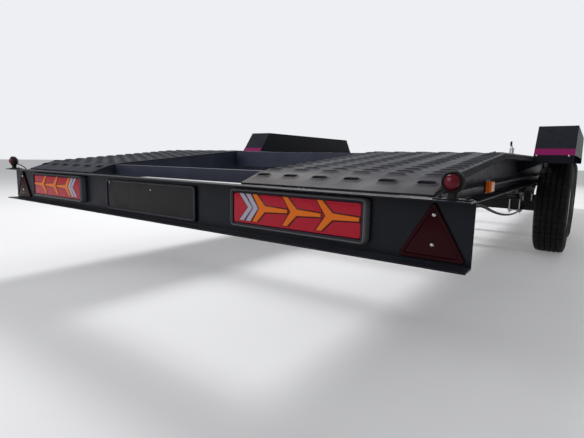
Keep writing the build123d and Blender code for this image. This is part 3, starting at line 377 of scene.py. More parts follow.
class Shape:
    """Gathers the faces of one piece. Points are given in millimetres, in the trailer's frame."""

    def __init__(self):
        self.mesh = bmesh.new()

    def point(self, x, y, z):
        return self.mesh.verts.new((x * MM, y * MM, z * MM))

    def face(self, *corners):
        self.mesh.faces.new(corners)

    def strip(self, first, second, closed=True):
        """Quads between two rows with as many points each."""
        count = len(first)
        for i in range(count if closed else count - 1):
            j = (i + 1) % count
            self.face(first[i], first[j], second[j], second[i])

    def tube(self, rows, closed=True):
        for first, second in zip(rows, rows[1:]):
            self.strip(first, second, closed)

    def loft(self, rows, capped=True):
        """A solid through rows of points, each row a closed outline."""
        rings = [[self.point(*p) for p in row] for row in rows]
        self.tube(rings)
        if capped:
            self.face(*rings[0])
            self.face(*rings[-1])

    def prism(self, outline, vector):
        """A solid from an outline carried along a vector."""
        self.loft([outline, [tuple(a + b for a, b in zip(p, vector)) for p in outline]])

    def box(self, first, second):
        (x0, y0, z0), (x1, y1, z1) = first, second
        self.prism(((x0, y0, z0), (x1, y0, z0), (x1, y1, z0), (x0, y1, z0)), (0, 0, z1 - z0))

    def turned(self, profile, centre, axis=RIGHT, steps=32, loop=False, turns=None):
        """A profile of (reach along the axis, radius) turned round the axis; radius 0 is a tip.

        turns gives the angles and their dips; a third value in the profile scales the dip.
        """
        turns = turns or [(2 * pi * i / steps, 0.0) for i in range(steps)]
        along, across, up = directions(axis)
        rings = []
        for reach, radius, *share in profile:
            centre_here = Vector(centre) + along * reach
            if radius == 0:
                rings.append([self.point(*centre_here)])
                continue
            ring = []
            for turn, dip in turns:
                r = radius - dip * (share[0] if share else 0.0)
                ring.append(self.point(*(centre_here + r * (cos(turn) * across + sin(turn) * up))))
            rings.append(ring)
        for first, second in zip(rings, rings[1:] + rings[:1] if loop else rings[1:]):
            if len(first) > 1 and len(second) > 1:
                self.strip(first, second)
            elif len(first) != len(second):
                tip, ring = (first[0], second) if len(first) == 1 else (second[0], first)
                for i, corner in enumerate(ring):
                    self.face(tip, corner, ring[(i + 1) % len(ring)])

    def rod(self, start, end, radius, steps=12, edge=0.0):
        """A round bar between two points, with chamfered ends."""
        start, end = Vector(start), Vector(end)
        length = (end - start).length
        profile = [(0, radius - edge), (edge, radius), (length - edge, radius), (length, radius - edge)]
        if not edge:
            profile = [(0, radius), (length, radius)]
        self.turned([(0, 0), *profile, (length, 0)], start, end - start, steps)

    def hexagon(self, centre, axis, radius, height):
        """A nut or bolt head that stands on centre."""
        profile = [(0, 0), (0, radius), (0.85 * height, radius), (height, 0.86 * radius), (height, 0)]
        self.turned(profile, centre, axis, 6)

    def bolt(self, centre, axis, radius, height):
        """Washer, hexagon head and a short thread end."""
        thick, wide = 0.2 * height, 1.25 * radius
        self.turned([(0, 0), (0, wide), (thick, wide), (thick, 0)], centre, axis, 20)
        self.hexagon(Vector(centre) + Vector(axis).normalized() * thick, axis, radius, 0.8 * height)
        end = 1.25 * height
        self.turned([(height, 0.5 * radius), (end, 0.45 * radius), (end, 0)], centre, axis, 12)

    def piece(self, name, slot, body="chassis", replaces=(), bevel=0.0):
        """Turns the gathered faces into an object that rides on a body."""
        bmesh.ops.recalc_face_normals(self.mesh, faces=self.mesh.faces)
        data = bpy.data.meshes.new(name)
        self.mesh.to_mesh(data)
        self.mesh.free()
        data.polygons.foreach_set("use_smooth", [True] * len(data.polygons))
        data.set_sharp_from_angle(angle=SMOOTH_ANGLE)
        data.materials.append(MATERIALS[slot])
        obj = link(name, data)
        if bevel:
            soften(obj, bevel)
        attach(obj, body)
        if replaces:
            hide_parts(*replaces)


def smooth_line(name, route, radius, round_steps, run_steps):
    """A thin round line along a spline's control points, all in metres."""
    data = bpy.data.curves.new(name, "CURVE")
    data.dimensions = "3D"
    data.bevel_depth = radius
    data.bevel_resolution = round_steps
    data.resolution_u = run_steps
    data.use_fill_caps = True
    spline = data.splines.new("NURBS")
    spline.points.add(len(route) - 1)
    for point, place in zip(spline.points, route):
        point.co = (*place, 1)
    spline.order_u = 3
    spline.use_endpoint_u = True
    data.materials.append(MATERIALS["cable_black"])
    line = link(name, data)
    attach(line, "chassis")
    return line


# ---- places worked out from the frame, in millimetres

STEEL = 4.0
REAR = high("rear_beam").y - STEEL
BEAM_TOP = high("rear_beam").z
BEAM_HALF = high("rear_beam").x
DECK_TOP = high("decks").z
FRONT = high("decks").y
RUNWAY_OUTER = high("decks").x
RUNWAY_INNER = high("crossmembers").x
AXLE_Z = middle("rim_rear_right").z


def at(station):
    """Y of a distance ahead of the rear beam's web."""
    return REAR + station


# ---- the lighting cable behind the rear beam, a cord with the same route as its solid

CABLE_DIAMETER = 7.5 * MM
# X, distance ahead of the rear beam's web and Z, in metres
CABLE_ROUTE = (
    (1.110, 0.018, 0.4920), (1.110, 0.096, 0.4920), (1.105, 0.196, 0.4790), (1.098, 0.298, 0.4625),
    (1.090, 0.404, 0.4465), (1.082, 0.510, 0.4315), (1.074, 0.616, 0.4175), (1.066, 0.722, 0.4045),
    (1.058, 0.828, 0.3920), (1.050, 0.934, 0.3805), (1.042, 1.040, 0.3695), (1.034, 1.146, 0.3590),
    (1.026, 1.252, 0.3493), (1.018, 1.358, 0.3403), (1.010, 1.464, 0.3320), (1.002, 1.570, 0.3243),
    (0.994, 1.676, 0.3172), (0.986, 1.782, 0.3107), (0.978, 1.888, 0.3048), (0.970, 1.994, 0.2995),
    (0.961, 2.098, 0.2946), (0.950, 2.203, 0.2905), (0.950, 2.296, 0.2905),
)
route = [(x, REAR * MM + s, z) for x, s, z in CABLE_ROUTE]
cable = smooth_line("rear_cable_line", route, CABLE_DIAMETER / 2, 4, 8)
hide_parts("rear_cable")
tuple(route[0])


# ---- runway sheets with pressed slots

STRIP_LENGTH = 108.0
STRIP_RISE = 37.0
SHEET_FOOT = low("ramps").y - REAR
CREST = low("decks").y - REAR
SHEET_LIP = 22.0
FOLD = 4.5
FOLD_LINE = RUNWAY_OUTER - FOLD
SLOT_HALF = 24.0
SLOT_SIDE = 10.0
SLOT_COLUMNS = 6
SLOT_MARGIN = 42.0
SLOT_COLUMN_PITCH = 102.8
SLOT_ROW_PITCH = 60.0
SLOT_FIRST_ROW = 88.0
RAMP_ROWS = 14
DECK_LEAD = 30.0
ROUND_STEPS = 6
# Rings of a pressed slot from the sheet to the underside: growth beyond the opening, height
COLLAR = ((9.0, 0.0), (4.6, 1.6), (1.6, 4.2), (0.4, 4.6), (-0.6, 3.6), (0.0, -STEEL))
# The folded outer edge: X and drop from the top face
FOLDED_EDGE = (
    (FOLD_LINE, 0.0),
    (FOLD_LINE + 0.5 * FOLD, -0.13 * FOLD),
    (FOLD_LINE + 0.87 * FOLD, -0.5 * FOLD),
    (RUNWAY_OUTER, -FOLD),
    (RUNWAY_OUTER, -SHEET_LIP),
    (RUNWAY_OUTER - STEEL, -SHEET_LIP),
    (RUNWAY_OUTER - STEEL, -FOLD - 0.5),
    (FOLD_LINE, -STEEL),
)


def sheet_height(station):
    """Height of a runway's top face."""
    foot = BEAM_TOP + STEEL
    bend = SHEET_FOOT + STRIP_LENGTH
    if station <= bend:
        return foot + STRIP_RISE * (station - SHEET_FOOT) / STRIP_LENGTH
    share = min((station - bend) / (CREST - bend), 1.0)
    return foot + STRIP_RISE + share * (DECK_TOP - foot - STRIP_RISE)


def obround(half, side, grow=0.0):
    """Points of a slot's outline round the origin, anticlockwise from its lower right."""
    radius = side + grow
    turns = [radians(-90 + 180 * i / ROUND_STEPS) for i in range(ROUND_STEPS + 1)]
    right = [(half - side + radius * cos(t), radius * sin(t)) for t in turns]
    return right + [(-x, -y) for x, y in right]


def fill_round(shape, corners, ring):
    """Faces between a four-cornered cell and the ring in it; both start lower right."""
    quarter = ROUND_STEPS // 2
    starts = (0, quarter, 2 * quarter + 1, 3 * quarter + 1)
    for start, corner in zip(starts, corners):
        for i in range(start, start + quarter):
            shape.face(corner, ring[i + 1], ring[i])
    lower_right, upper_right, upper_left, lower_left = corners
    shape.face(lower_right, upper_right, ring[quarter])
    shape.face(upper_right, upper_left, ring[2 * quarter + 1], ring[2 * quarter])
    shape.face(upper_left, lower_left, ring[3 * quarter + 1])
    shape.face(lower_left, lower_right, ring[0], ring[-1])


def pressed_slot(shape, spot, x, station, columns, rows):
    """One cell of a runway with a pressed slot in it; spot makes a point of the sheet."""
    rings = [
        [spot(x + across, station + along, rise) for across, along in obround(SLOT_HALF, SLOT_SIDE, grow)]
        for grow, rise in COLLAR
    ]
    shape.tube(rings)
    corners = ((columns[1], rows[0]), (columns[1], rows[1]), (columns[0], rows[1]), (columns[0], rows[0]))
    for drop, ring in ((0.0, rings[0]), (-STEEL, rings[-1])):
        fill_round(shape, [spot(*corner, drop) for corner in corners], ring)


def between(middles, first, last):
    """The lines that part a row of cells."""
    return [first, *[(a + b) / 2 for a, b in zip(middles, middles[1:])], last]


def runway_sheet(shape, sign, start, end):
    """A perforated sheet with a folded outer edge between two stations."""

    def spot(x, station, lift=0.0):
        return shape.point(sign * x, at(station), sheet_height(station) + lift)

    first = SLOT_FIRST_ROW if start < CREST else start + DECK_LEAD
    count = RAMP_ROWS if start < CREST else int((end - first) // SLOT_ROW_PITCH)
    slots = [first + i * SLOT_ROW_PITCH for i in range(count)]
    rows = between(slots, start, end)
    middles = [RUNWAY_INNER + SLOT_MARGIN + i * SLOT_COLUMN_PITCH for i in range(SLOT_COLUMNS)]
    columns = between(middles, RUNWAY_INNER, FOLD_LINE)
    for station, row in zip(slots, zip(rows, rows[1:])):
        for x, column in zip(middles, zip(columns, columns[1:])):
            pressed_slot(shape, spot, x, station, column, row)
    # The folded edge, the inner edge and the two ends
    edge = [[spot(x, s, z) for x, z in FOLDED_EDGE] for s in rows]
    shape.tube(edge, closed=False)
    shape.tube([[spot(RUNWAY_INNER, s, z) for z in (0, -STEEL)] for s in rows], closed=False)
    for s, row in ((rows[0], edge[0]), (rows[-1], edge[-1])):
        shape.face(*row)
        shape.tube([[spot(c, s, z) for c in columns] for z in (0, -STEEL)], closed=False)


for node, start, end in (("ramps", SHEET_FOOT, CREST), ("decks", CREST, FRONT - REAR)):
    sheets = Shape()
    for sign in SIGNS:
        runway_sheet(sheets, sign, start, end)
    bmesh.ops.remove_doubles(sheets.mesh, verts=sheets.mesh.verts, dist=WELD)
    sheets.piece(f"perforated_{node}", "deck_paint", replaces=(node,))


# ---- tail lamps

LAMP_WIDTH = 450.0
LAMP_RIM = 14.0
LAMP_CORNER = 14.0
LAMP_TEETH = 4.6
LAMP_START = high("tail_lamp_frames").x - LAMP_WIDTH
LAMP_X = LAMP_START + LAMP_WIDTH / 2
LAMP_HEIGHT = high("tail_lamp_frames").z - low("tail_lamp_frames").z
LAMP_Z = middle("tail_lamp_frames").z
LENS_FRONT = low("tail_lamp_lenses").y
LAMP_DEPTH = REAR - low("tail_lamp_frames").y
LENS_DEPTH = REAR - LENS_FRONT
CORNER_STEPS = 5
# Rings of the frame and of the bezel in it: inset, depth from the web, tooth
RIM_RINGS = (
    (0.0, 0.0, 0.0),
    (0.0, LAMP_DEPTH - 7, 0.0),
    (1.8, LAMP_DEPTH - 3, 1.6),
    (4.6, LAMP_DEPTH, 1.6),
    (6.8, LAMP_DEPTH - 0.5, 0.0),
    (7.0, LAMP_DEPTH - 4, 0.0),
)
BEZEL_RINGS = (
    (6.4, LAMP_DEPTH - 3.5, 0.0),
    (7.0, LAMP_DEPTH - 2.0, 0.0),
    (LAMP_RIM - 1.5, LAMP_DEPTH - 1.5, 0.0),
    (LAMP_RIM, LENS_DEPTH - 2, 0.0),
    (LAMP_RIM, 1.0, 0.0),
)
GLASS_SIZE = (LAMP_WIDTH - 2 * LAMP_RIM - 0.6, LAMP_HEIGHT - 2 * LAMP_RIM - 0.6)
GLASS_ROWS = ((0.0, 2.0), (0.0, LENS_DEPTH - 2.0), (1.2, LENS_DEPTH - 0.5), (4.0, LENS_DEPTH))


def rounded_rectangle(width, height, corner, pitch=1000.0, like=None):
    """Points round a rounded rectangle; like gives the outer size that sets how many they are."""
    across, up = like or (width, height)
    half = (width / 2 - corner, height / 2 - corner)
    centres = [(sx * half[0], sz * half[1]) for sx, sz in ((1, -1), (1, 1), (-1, 1), (-1, -1))]
    points = []
    for index, length in enumerate((up, across, up, across)):
        turn = 90 * index
        centre, target = centres[index], centres[(index + 1) % 4]
        for i in range(CORNER_STEPS):
            t = radians(turn - 90 + 90 * i / CORNER_STEPS)
            points.append((centre[0] + corner * cos(t), centre[1] + corner * sin(t)))
        out = (corner * cos(radians(turn)), corner * sin(radians(turn)))
        steps = max(1, round(length / pitch))
        for i in range(steps):
            points.append(tuple(c + i / steps * (g - c) + o for c, g, o in zip(centre, target, out)))
    return points


def lamp_ring(centre_x, inset, depth, teeth):
    """One ring of the lamp's frame, drawn in from its outer edge, at a depth from the web."""
    outline = rounded_rectangle(
        LAMP_WIDTH - 2 * inset, LAMP_HEIGHT - 2 * inset, max(LAMP_CORNER - inset, 3.0),
        LAMP_TEETH, (LAMP_WIDTH, LAMP_HEIGHT),
    )
    return [
        (centre_x + x, REAR - depth + (teeth if i % 2 else 0.0), LAMP_Z + z)
        for i, (x, z) in enumerate(outline)
    ]


for name, look, table in (("lamp_rims", "reflex_frame", RIM_RINGS), ("lamp_bezels", "lamp_bezel", BEZEL_RINGS)):
    shape = Shape()
    for sign in SIGNS:
        shape.loft([lamp_ring(sign * LAMP_X, *ring) for ring in table], capped=False)
    shape.piece(name, look, replaces=("tail_lamp_frames",))

glass = Shape()
for sign in SIGNS:
    rows = []
    for grow, depth in GLASS_ROWS:
        outline = rounded_rectangle(GLASS_SIZE[0] - 2 * grow, GLASS_SIZE[1] - 2 * grow, 5.0)
        rows.append([(sign * LAMP_X + x, REAR - depth, LAMP_Z + z) for x, z in outline])
    glass.loft(rows)
glass.piece("lamp_glass", "lamp_red", replaces=("tail_lamp_lenses",))

# Symbols: start, reach and arm thickness of the chevrons; start, notch, fork, tip and arm of the arrows
SYMBOL_Z = middle("lamp_arrows").z
SYMBOL_HALF = (high("lamp_arrows").z - low("lamp_arrows").z) / 2
CHEVRONS = ((38.0, 52.0, 18.0), (63.0, 48.0, 19.0))
ARROWS = ((89.0, 25.0, 47.0, 126.0, 18.0), (198.0, 27.0, 48.0, 124.0, 18.0), (308.0, 28.0, 49.0, 124.0, 18.0))
BAR_ROOT = 9.0
BAR_TIP = 5.0


def chevron_outline(start, reach, arm, grow):
    """Chevron from the lamp's inner end outwards; grow widens it all round."""
    h = SYMBOL_HALF + 0.4 * grow
    lean = 0.4 * grow * reach / SYMBOL_HALF
    wide = 1.5 * grow
    near, far = start - wide - lean, start + arm + wide - lean
    tip, notch = start + reach + wide, start + reach - arm - wide
    return [(near, h), (far, h), (tip, 0), (far, -h), (near, -h), (notch, 0)]


def arrow_outline(start, notch, fork, tip, arm, grow):
    """Arrow with two arms and a bar that narrows to its tip."""
    h = SYMBOL_HALF + 0.4 * grow
    near, far = start - 1.3 * grow, start + arm + 1.3 * grow
    bar = [(start + fork + 0.6 * grow, BAR_ROOT + grow), (start + tip + grow, BAR_TIP + grow)]
    upper = [(near, h), (far, h), *bar]
    return upper + [(x, -z) for x, z in reversed(upper)] + [(near + notch, 0)]


# Piece, look, outline and its rows, growth below and on top, three heights over the lens, node
SYMBOLS = (
    ("lamp_chevrons_raised", "lamp_grey", chevron_outline, CHEVRONS, 0.0, -1.0, (-0.5, 0.6, 1.6), ("lamp_chevrons",)),
    ("lamp_arrows_raised", "lamp_amber", arrow_outline, ARROWS, 0.0, -1.2, (-0.5, 0.6, 1.8), ("lamp_arrows",)),
    ("lamp_arrow_borders", "lamp_dark", arrow_outline, ARROWS, 3.2, 2.8, (-0.5, 0.2, 0.5), ()),
    ("lamp_chevron_borders", "lamp_dark", chevron_outline, CHEVRONS, 1.6, 1.4, (-0.5, 0.1, 0.4), ()),
)
for name, look, outline, table, wide, narrow, lifts, replaced in SYMBOLS:
    shape = Shape()
    for sign in SIGNS:
        for row in table:
            rows = []
            for grow, lift in zip((wide, wide, narrow), lifts):
                points = outline(*row, grow)
                rows.append([(sign * (LAMP_START + x), LENS_FRONT - lift, SYMBOL_Z + z) for x, z in points])
            shape.loft(rows)
    shape.piece(name, look, replaces=replaced)


# ---- triangles, markers and screws on the rear beam

TRIANGLE_LOW = low("triangle_reflectors").z
TRIANGLE_RISE = high("triangle_reflectors").z - TRIANGLE_LOW
TRIANGLE_X = high("triangle_reflectors").x - TRIANGLE_RISE / sin(radians(60)) / 2
TRIANGLE_DEPTH = REAR - low("triangle_reflectors").y
CORNER_ROUND = 7.0
# Rings of the border and rows of the prism field: inset, depth from the web
BORDER = ((0, 0), (0, 5.5), (1.5, 7.0), (8, 7.0), (9, 5.6), (9, 0.5))
PRISM = ((8, 0.5), (8, 4.5), (10, 5.2))


def rounded_triangle(inset):
    """Triangle with one point up and rounded corners, drawn in by an inset."""
    heart = TRIANGLE_RISE / 3
    radius = max(CORNER_ROUND - inset, 1.5)
    reach = 2 * (heart - inset - radius)
    points = []
    for turn in (90, 210, 330):
        x, z = reach * cos(radians(turn)), reach * sin(radians(turn)) + heart
        for step in range(-3, 4):
            t = radians(turn + 20 * step)
            points.append((x + radius * cos(t), z + radius * sin(t)))
    return points


for name, look, table, capped in (
    ("triangle_borders", "reflector_red", BORDER, False),
    ("triangle_prisms", "reflector_prism", PRISM, True),
):
    shape = Shape()
    for sign in SIGNS:
        rows = []
        for inset, depth in table:
            y = REAR - min(depth, TRIANGLE_DEPTH)
            rows.append([(sign * TRIANGLE_X + x, y, TRIANGLE_LOW + z) for x, z in rounded_triangle(inset)])
        shape.loft(rows, capped)
    shape.piece(name, look, replaces=("triangle_reflectors",))

# Round-headed screws: X, Z, depth of the face behind the head, radius
SCREWS = (
    (-1041.0, 473.0, 5.2, 4.6),
    (-1041.0, 404.7, 5.2, 4.6),
    (1041.0, 473.0, 5.2, 4.6),
    (1041.0, 404.7, 5.2, 4.6),
    (-238.6, 482.0, 8.0, 3.6),
    (23.4, 466.7, 6.0, 3.6),
    (-449.9, 446.7, 0.0, 3.6),
)
# Dome and recess of a screw: reach, share of the radius
SCREW = ((0.0, 1.0), (0.9, 1.0), (1.9, 0.78), (2.5, 0.42), (1.5, 0.34), (1.3, 0.0))
screws = Shape()
for x, z, depth, radius in SCREWS:
    screws.turned([(reach, share * radius) for reach, share in SCREW], (x, REAR - depth, z), BEHIND, 20)
screws.piece("face_screws", "zinc_steel")

# Marker lamps: a thick rubber ring on a foot and a domed red lens
MARKER_Z = middle("marker_lenses").z
LENS_RADIUS = high("marker_lenses").z - MARKER_Z
MARKER_X = high("marker_lenses").x - LENS_RADIUS
MARKER_BACK = high("marker_bodies").y
MARKER_FRONT = low("marker_bodies").y
MARKER_DEPTH = MARKER_BACK - MARKER_FRONT
MARKER_RADIUS = high("marker_bodies").z - MARKER_Z
MARKER_RING = (
    (0, 0),
    (0, MARKER_RADIUS - 7),
    (2, MARKER_RADIUS - 3),
    (6, MARKER_RADIUS - 0.8),
    (11, MARKER_RADIUS),
    (MARKER_DEPTH - 5, MARKER_RADIUS),
    (MARKER_DEPTH - 1.5, MARKER_RADIUS - 1.2),
    (MARKER_DEPTH, MARKER_RADIUS - 3.5),
    (MARKER_DEPTH + 0.5, LENS_RADIUS + 1.5),
    (MARKER_DEPTH - 1.5, LENS_RADIUS - 0.5),
    (MARKER_DEPTH - 3, 0),
)
DOME_HEIGHT = MARKER_FRONT - low("marker_lenses").y + 1
DOME = [(MARKER_DEPTH - 2, 0), (MARKER_DEPTH - 2, LENS_RADIUS - 1)]
DOME += [
    (MARKER_DEPTH - 1 + DOME_HEIGHT * sin(radians(t)), (LENS_RADIUS - 0.8) * cos(radians(t)))
    for t in range(0, 90, 15)
]
DOME.append((MARKER_DEPTH - 1 + DOME_HEIGHT, 0))
# Neck, widening downwards: height, half sizes
NECK = ((MARKER_Z - 14, 11, 9), (BEAM_TOP + 9, 9, 8), (BEAM_TOP + 4, 11, 10), (BEAM_TOP + 2.5, 17, 12))
FOOT_WIDTH, FOOT_REACH, FOOT_THICK = 78.0, 34.0, 3.0
FOOT_X = min(MARKER_X + FOOT_WIDTH / 2, BEAM_HALF - 1) - FOOT_WIDTH / 2
rubbers = Shape()
domes = Shape()
feet = Shape()
for sign in SIGNS:
    centre = (sign * MARKER_X, MARKER_BACK, MARKER_Z)
    rubbers.turned(MARKER_RING, centre, BEHIND, 40)
    domes.turned(DOME, centre, BEHIND, 40)
    y = (MARKER_BACK + MARKER_FRONT) / 2
    rubbers.loft([
        [(sign * MARKER_X + u, y + v, z) for u, v in rounded_rectangle(2 * half_x, 2 * half_y, 5)]
        for z, half_x, half_y in NECK
    ])
    plate = rounded_rectangle(FOOT_WIDTH, FOOT_REACH, 4)
    feet.prism([(sign * (FOOT_X + u), y + 6 + v, BEAM_TOP) for u, v in plate], (0, 0, FOOT_THICK))
    for shift in (-28, 30):
        feet.bolt((sign * (FOOT_X + shift), y + 8, BEAM_TOP + FOOT_THICK), UP, 4.5, 4)
rubbers.piece("marker_rubbers", "black_rubber", replaces=("marker_bodies",))
domes.piece("marker_domes", "marker_red", replaces=("marker_lenses",))
feet.piece("marker_foot_plates", "black_rubber", bevel=0.6)

# Amber lamps on the side beams; the front half's paler lens is a painted highlight
MARK_HALF_LENGTH = 32.0
MARK_JOINT = 4.0
MARK_STATIONS = (640.0, 3700.0, 5250.0)
MARK_BASE = high("side_marker_bases").x
MARK_Z = middle("side_marker_lenses").z
MARK_HALF = high("side_marker_lenses").z - MARK_Z
# Reach from the base and how far the outline draws in
MARK_ROWS = ((0.0, 0.0), (10.0, 0.6), (15.5, 2.0), (high("side_marker_lenses").x - MARK_BASE, 6.0))
for name, look, end in (("side_marker_amber", "lamp_amber", -1), ("side_marker_clear", "lamp_amber_pale", 1)):
    shape = Shape()
    for sign in SIGNS:
        for station in MARK_STATIONS:
            rows = []
            for reach, draw in MARK_ROWS:
                x = sign * (MARK_BASE + reach)
                h = MARK_HALF - draw * 0.7
                ys = (at(station) + end * (MARK_HALF_LENGTH - draw), at(station) + MARK_JOINT)
                y0, y1 = sorted(ys)
                rows.append([(x, y0, MARK_Z - h), (x, y1, MARK_Z - h), (x, y1, MARK_Z + h), (x, y0, MARK_Z + h)])
            shape.loft(rows)
    shape.piece(name, look, replaces=("side_marker_lenses",), bevel=0.8)


# ---- wheels

TYRE_RADIUS = high("tyre_rear_right").z - AXLE_Z
LUGS = 46
LUG_CUT = 4.0
# Share of a lug's pitch and its dip: the lug's two ends and the sides of the cut after it
LUG = ((0.0, 0.0), (0.45, 0.0), (0.90, 0.0), (0.92, LUG_CUT), (0.98, LUG_CUT))
LUG_TURNS = [((i + share) * 2 * pi / LUGS, dip) for i in range(LUGS) for share, dip in LUG]
GROOVES = (-46.0, -16.0, 16.0, 46.0)
GROOVE_HALF = 3.8
TREAD_CROWN = 1.5
TREAD_HALF = 60
GROOVE_FLOOR = TYRE_RADIUS - 7.5
# Sidewall from the bead outwards, and the fine ribs on it: reach, radius
SIDEWALL = ((72.0, 166.0), (75.5, 172.0), (76.5, 182.0), (83.0, 196.0), (88.0, 215.0), (90.0, 226.0))
SIDEWALL += ((90.0, 238.0), (89.5, 255.0), (87.0, 270.0), (83.5, 281.0))
SHOULDER = ((79.0, TYRE_RADIUS - 10, 0.6), (73.0, TYRE_RADIUS - 4.5, 1.0))
RIBS = ((84.6, 200.0), (88.6, 262.0))

HOLES = 12
HOLE_RADIUS = 13.0
HOLE_RING = 112.0
BOLT_RING = 56.0
BOLTS = 5
# The ring of holes lies between radius 94 and 130, on a face that falls towards the rim
DISC_FACE = 46.0
DISC_FALL = 2.0
SHELL_THICK = 4.0
# Rolled edge of a hole: growth beyond the opening, height over the face
HOLE_EDGE = ((3.0, 0.0), (1.0, -1.6), (0.0, -4.5))
# Reach and radius of the disc's faces inside and outside the ring of holes
INNER_DISC = ((33.0, 36.0), (33.0, 70.0), (40.0, 80.0), (46.0, 94.0), (45.6, 97.0))
OUTER_DISC = ((44.6, 127.0), (44.0, 130.0), (38.0, 140.0), (24.0, 149.0))
BARREL = ((-70, 165), (-76, 169), (-79, 177), (-81, 177), (-81, 170), (-77, 164), (-68, 160), (-44, 157), (-36, 150))
BARREL += ((12, 150), (20, 157), (62, 160), (77, 164), (81, 170), (81, 177), (79, 177), (76, 169), (70, 165))
BARREL += ((62, 163), (24, 160), (14, 153), (-38, 153), (-46, 160), (-66, 163))
HUB_CAP = ((30, 0), (30, 34), (46, 34), (48, 32), (60, 31), (63, 28), (64, 20), (64, 0))
BOLT_SEAT = ((0, 0), (0, 10.5), (3, 10.0), (4, 9.0), (4, 0))
BRAKE_DRUM = ((-16, 22), (-16, 104), (-12, 112), (-4, 112), (-3, 109), (24, 109), (30, 104), (31, 22))


def tyre_profile():
    """Closed section as (reach, radius, share of the cuts' dip), from the inner bead over the tread."""
    tread = []
    for groove in GROOVES:
        rim = (TYRE_RADIUS - TREAD_CROWN * (abs(groove) / TREAD_HALF) ** 2, 0.7)
        floor = (GROOVE_FLOOR, 0.0)
        for share, corner in ((-1, rim), (-0.6, floor), (0.6, floor), (1, rim)):
            tread.append((groove + share * GROOVE_HALF, *corner))
    half = [(a, r, 0.0) for a, r in SIDEWALL] + list(SHOULDER)
    return [(-a, r, dip) for a, r, dip in half] + tread + half[::-1]


def wheel_disc(shape, centre, out):
    """Pressed disc with a ring of holes, as a ring of cells between two turned shells."""
    for front in (INNER_DISC, OUTER_DISC):
        back = [(a - SHELL_THICK, r) for a, r in reversed(front)]
        shape.turned([*front, *back], centre, (out, 0, 0), 60, loop=True)
    along, across, up = directions((out, 0, 0))
    inner, outer = INNER_DISC[-2][1], OUTER_DISC[1][1]

    def place(radius, turn, lift):
        reach = DISC_FACE - DISC_FALL * (radius - inner) / (outer - inner) + lift
        return shape.point(*(Vector(centre) + along * reach + radius * (cos(turn) * across + sin(turn) * up)))

    half_turn = pi / HOLES
    cell = ((inner, half_turn), (outer, half_turn), (outer, -half_turn), (inner, -half_turn))
    for i in range(HOLES):
        heart = 2 * half_turn * i
        rings = []
        for grow, lift in HOLE_EDGE:
            outline = obround(HOLE_RADIUS + grow, HOLE_RADIUS + grow)
            rings.append([place(HOLE_RING + v, heart + u / (HOLE_RING + v), lift) for u, v in outline])
        shape.tube(rings)
        for (_, lift), ring in ((HOLE_EDGE[0], rings[0]), (HOLE_EDGE[-1], rings[-1])):
            fill_round(shape, [place(radius, heart + turn, lift) for radius, turn in cell], ring)


for end in ENDS:
    for side, sign in SIDES:
        wheel = f"{end}_{side}"
        body = f"wheel_{wheel}"
        centre = middle(f"tyre_{wheel}")
        axis = (sign, 0, 0)

        tyre = Shape()
        tyre.turned(tyre_profile(), centre, axis, loop=True, turns=LUG_TURNS)
        for reach, rib in RIBS:
            for face in SIGNS:
                section = [(face * (reach - 2), rib - 2), (face * (reach + 0.9), rib), (face * (reach - 2), rib + 2)]
                tyre.turned(section, centre, axis, 72, loop=True)
        tyre.piece(f"treaded_tyre_{wheel}", "tyre", body, (f"tyre_{wheel}",))

        rim = Shape()
        rim.turned(BARREL, centre, axis, 72, loop=True)
        wheel_disc(rim, centre, sign)
        valve = centre + Vector((sign * 30, 0, -141))
        rim.rod(valve, valve + Vector((sign * 24, 0, 6)), 4.0, 12, 1.0)
        rim.piece(f"pressed_rim_{wheel}", "wheel_silver", body, (f"rim_{wheel}",))

        hub = Shape()
        hub.turned(HUB_CAP, centre, axis, 40)
        for i in range(BOLTS):
            turn = 2 * pi * i / BOLTS
            spot = centre + Vector((sign * 33, BOLT_RING * sin(turn), BOLT_RING * cos(turn)))
            hub.turned(BOLT_SEAT, spot, axis, 20)
            hub.hexagon(spot + Vector((sign * 3, 0, 0)), axis, 8.5, 11)
        hub.piece(f"hub_and_bolts_{wheel}", "zinc_steel", body, (f"rim_{wheel}",))

        drum = Shape()
        drum.turned(BRAKE_DRUM, centre, axis, 48, loop=True)
        drum.piece(f"brake_drum_{wheel}", "axle_paint", body, (f"rim_{wheel}",))


# ---- under the bed: nuts and clips of the springs

SPRING_WIDTH = 50.0
SPRING_X = high("leaf_springs").x - SPRING_WIDTH / 2
SPRING_HALF = 290.0
AXLE_YS = [sum(corner.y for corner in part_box(f"rim_{end}_right")) / 2 / MM for end in ENDS]
GROUP_Y = sum(AXLE_YS) / 2
EYE_Z = middle("spring_rockers").z
SPRING_TOP = EYE_Z - 42.0
SPRING_CAMBER = 38.0
LEAVES = 24.0
CLIP_HALF = SPRING_WIDTH / 2 + 3.0
PLATE_TOP = low("axle_clamps").z + 14.0
PIVOTS = (AXLE_YS[0] - SPRING_HALF, GROUP_Y, AXLE_YS[1] + SPRING_HALF, GROUP_Y - 60, GROUP_Y + 60)
WASHER = ((31.3, 8), (31.3, 16), (33.3, 16), (33.3, 8))
THREAD_END = ((39.0, 0), (39.0, 6), (43.2, 6), (44, 5), (44, 0))

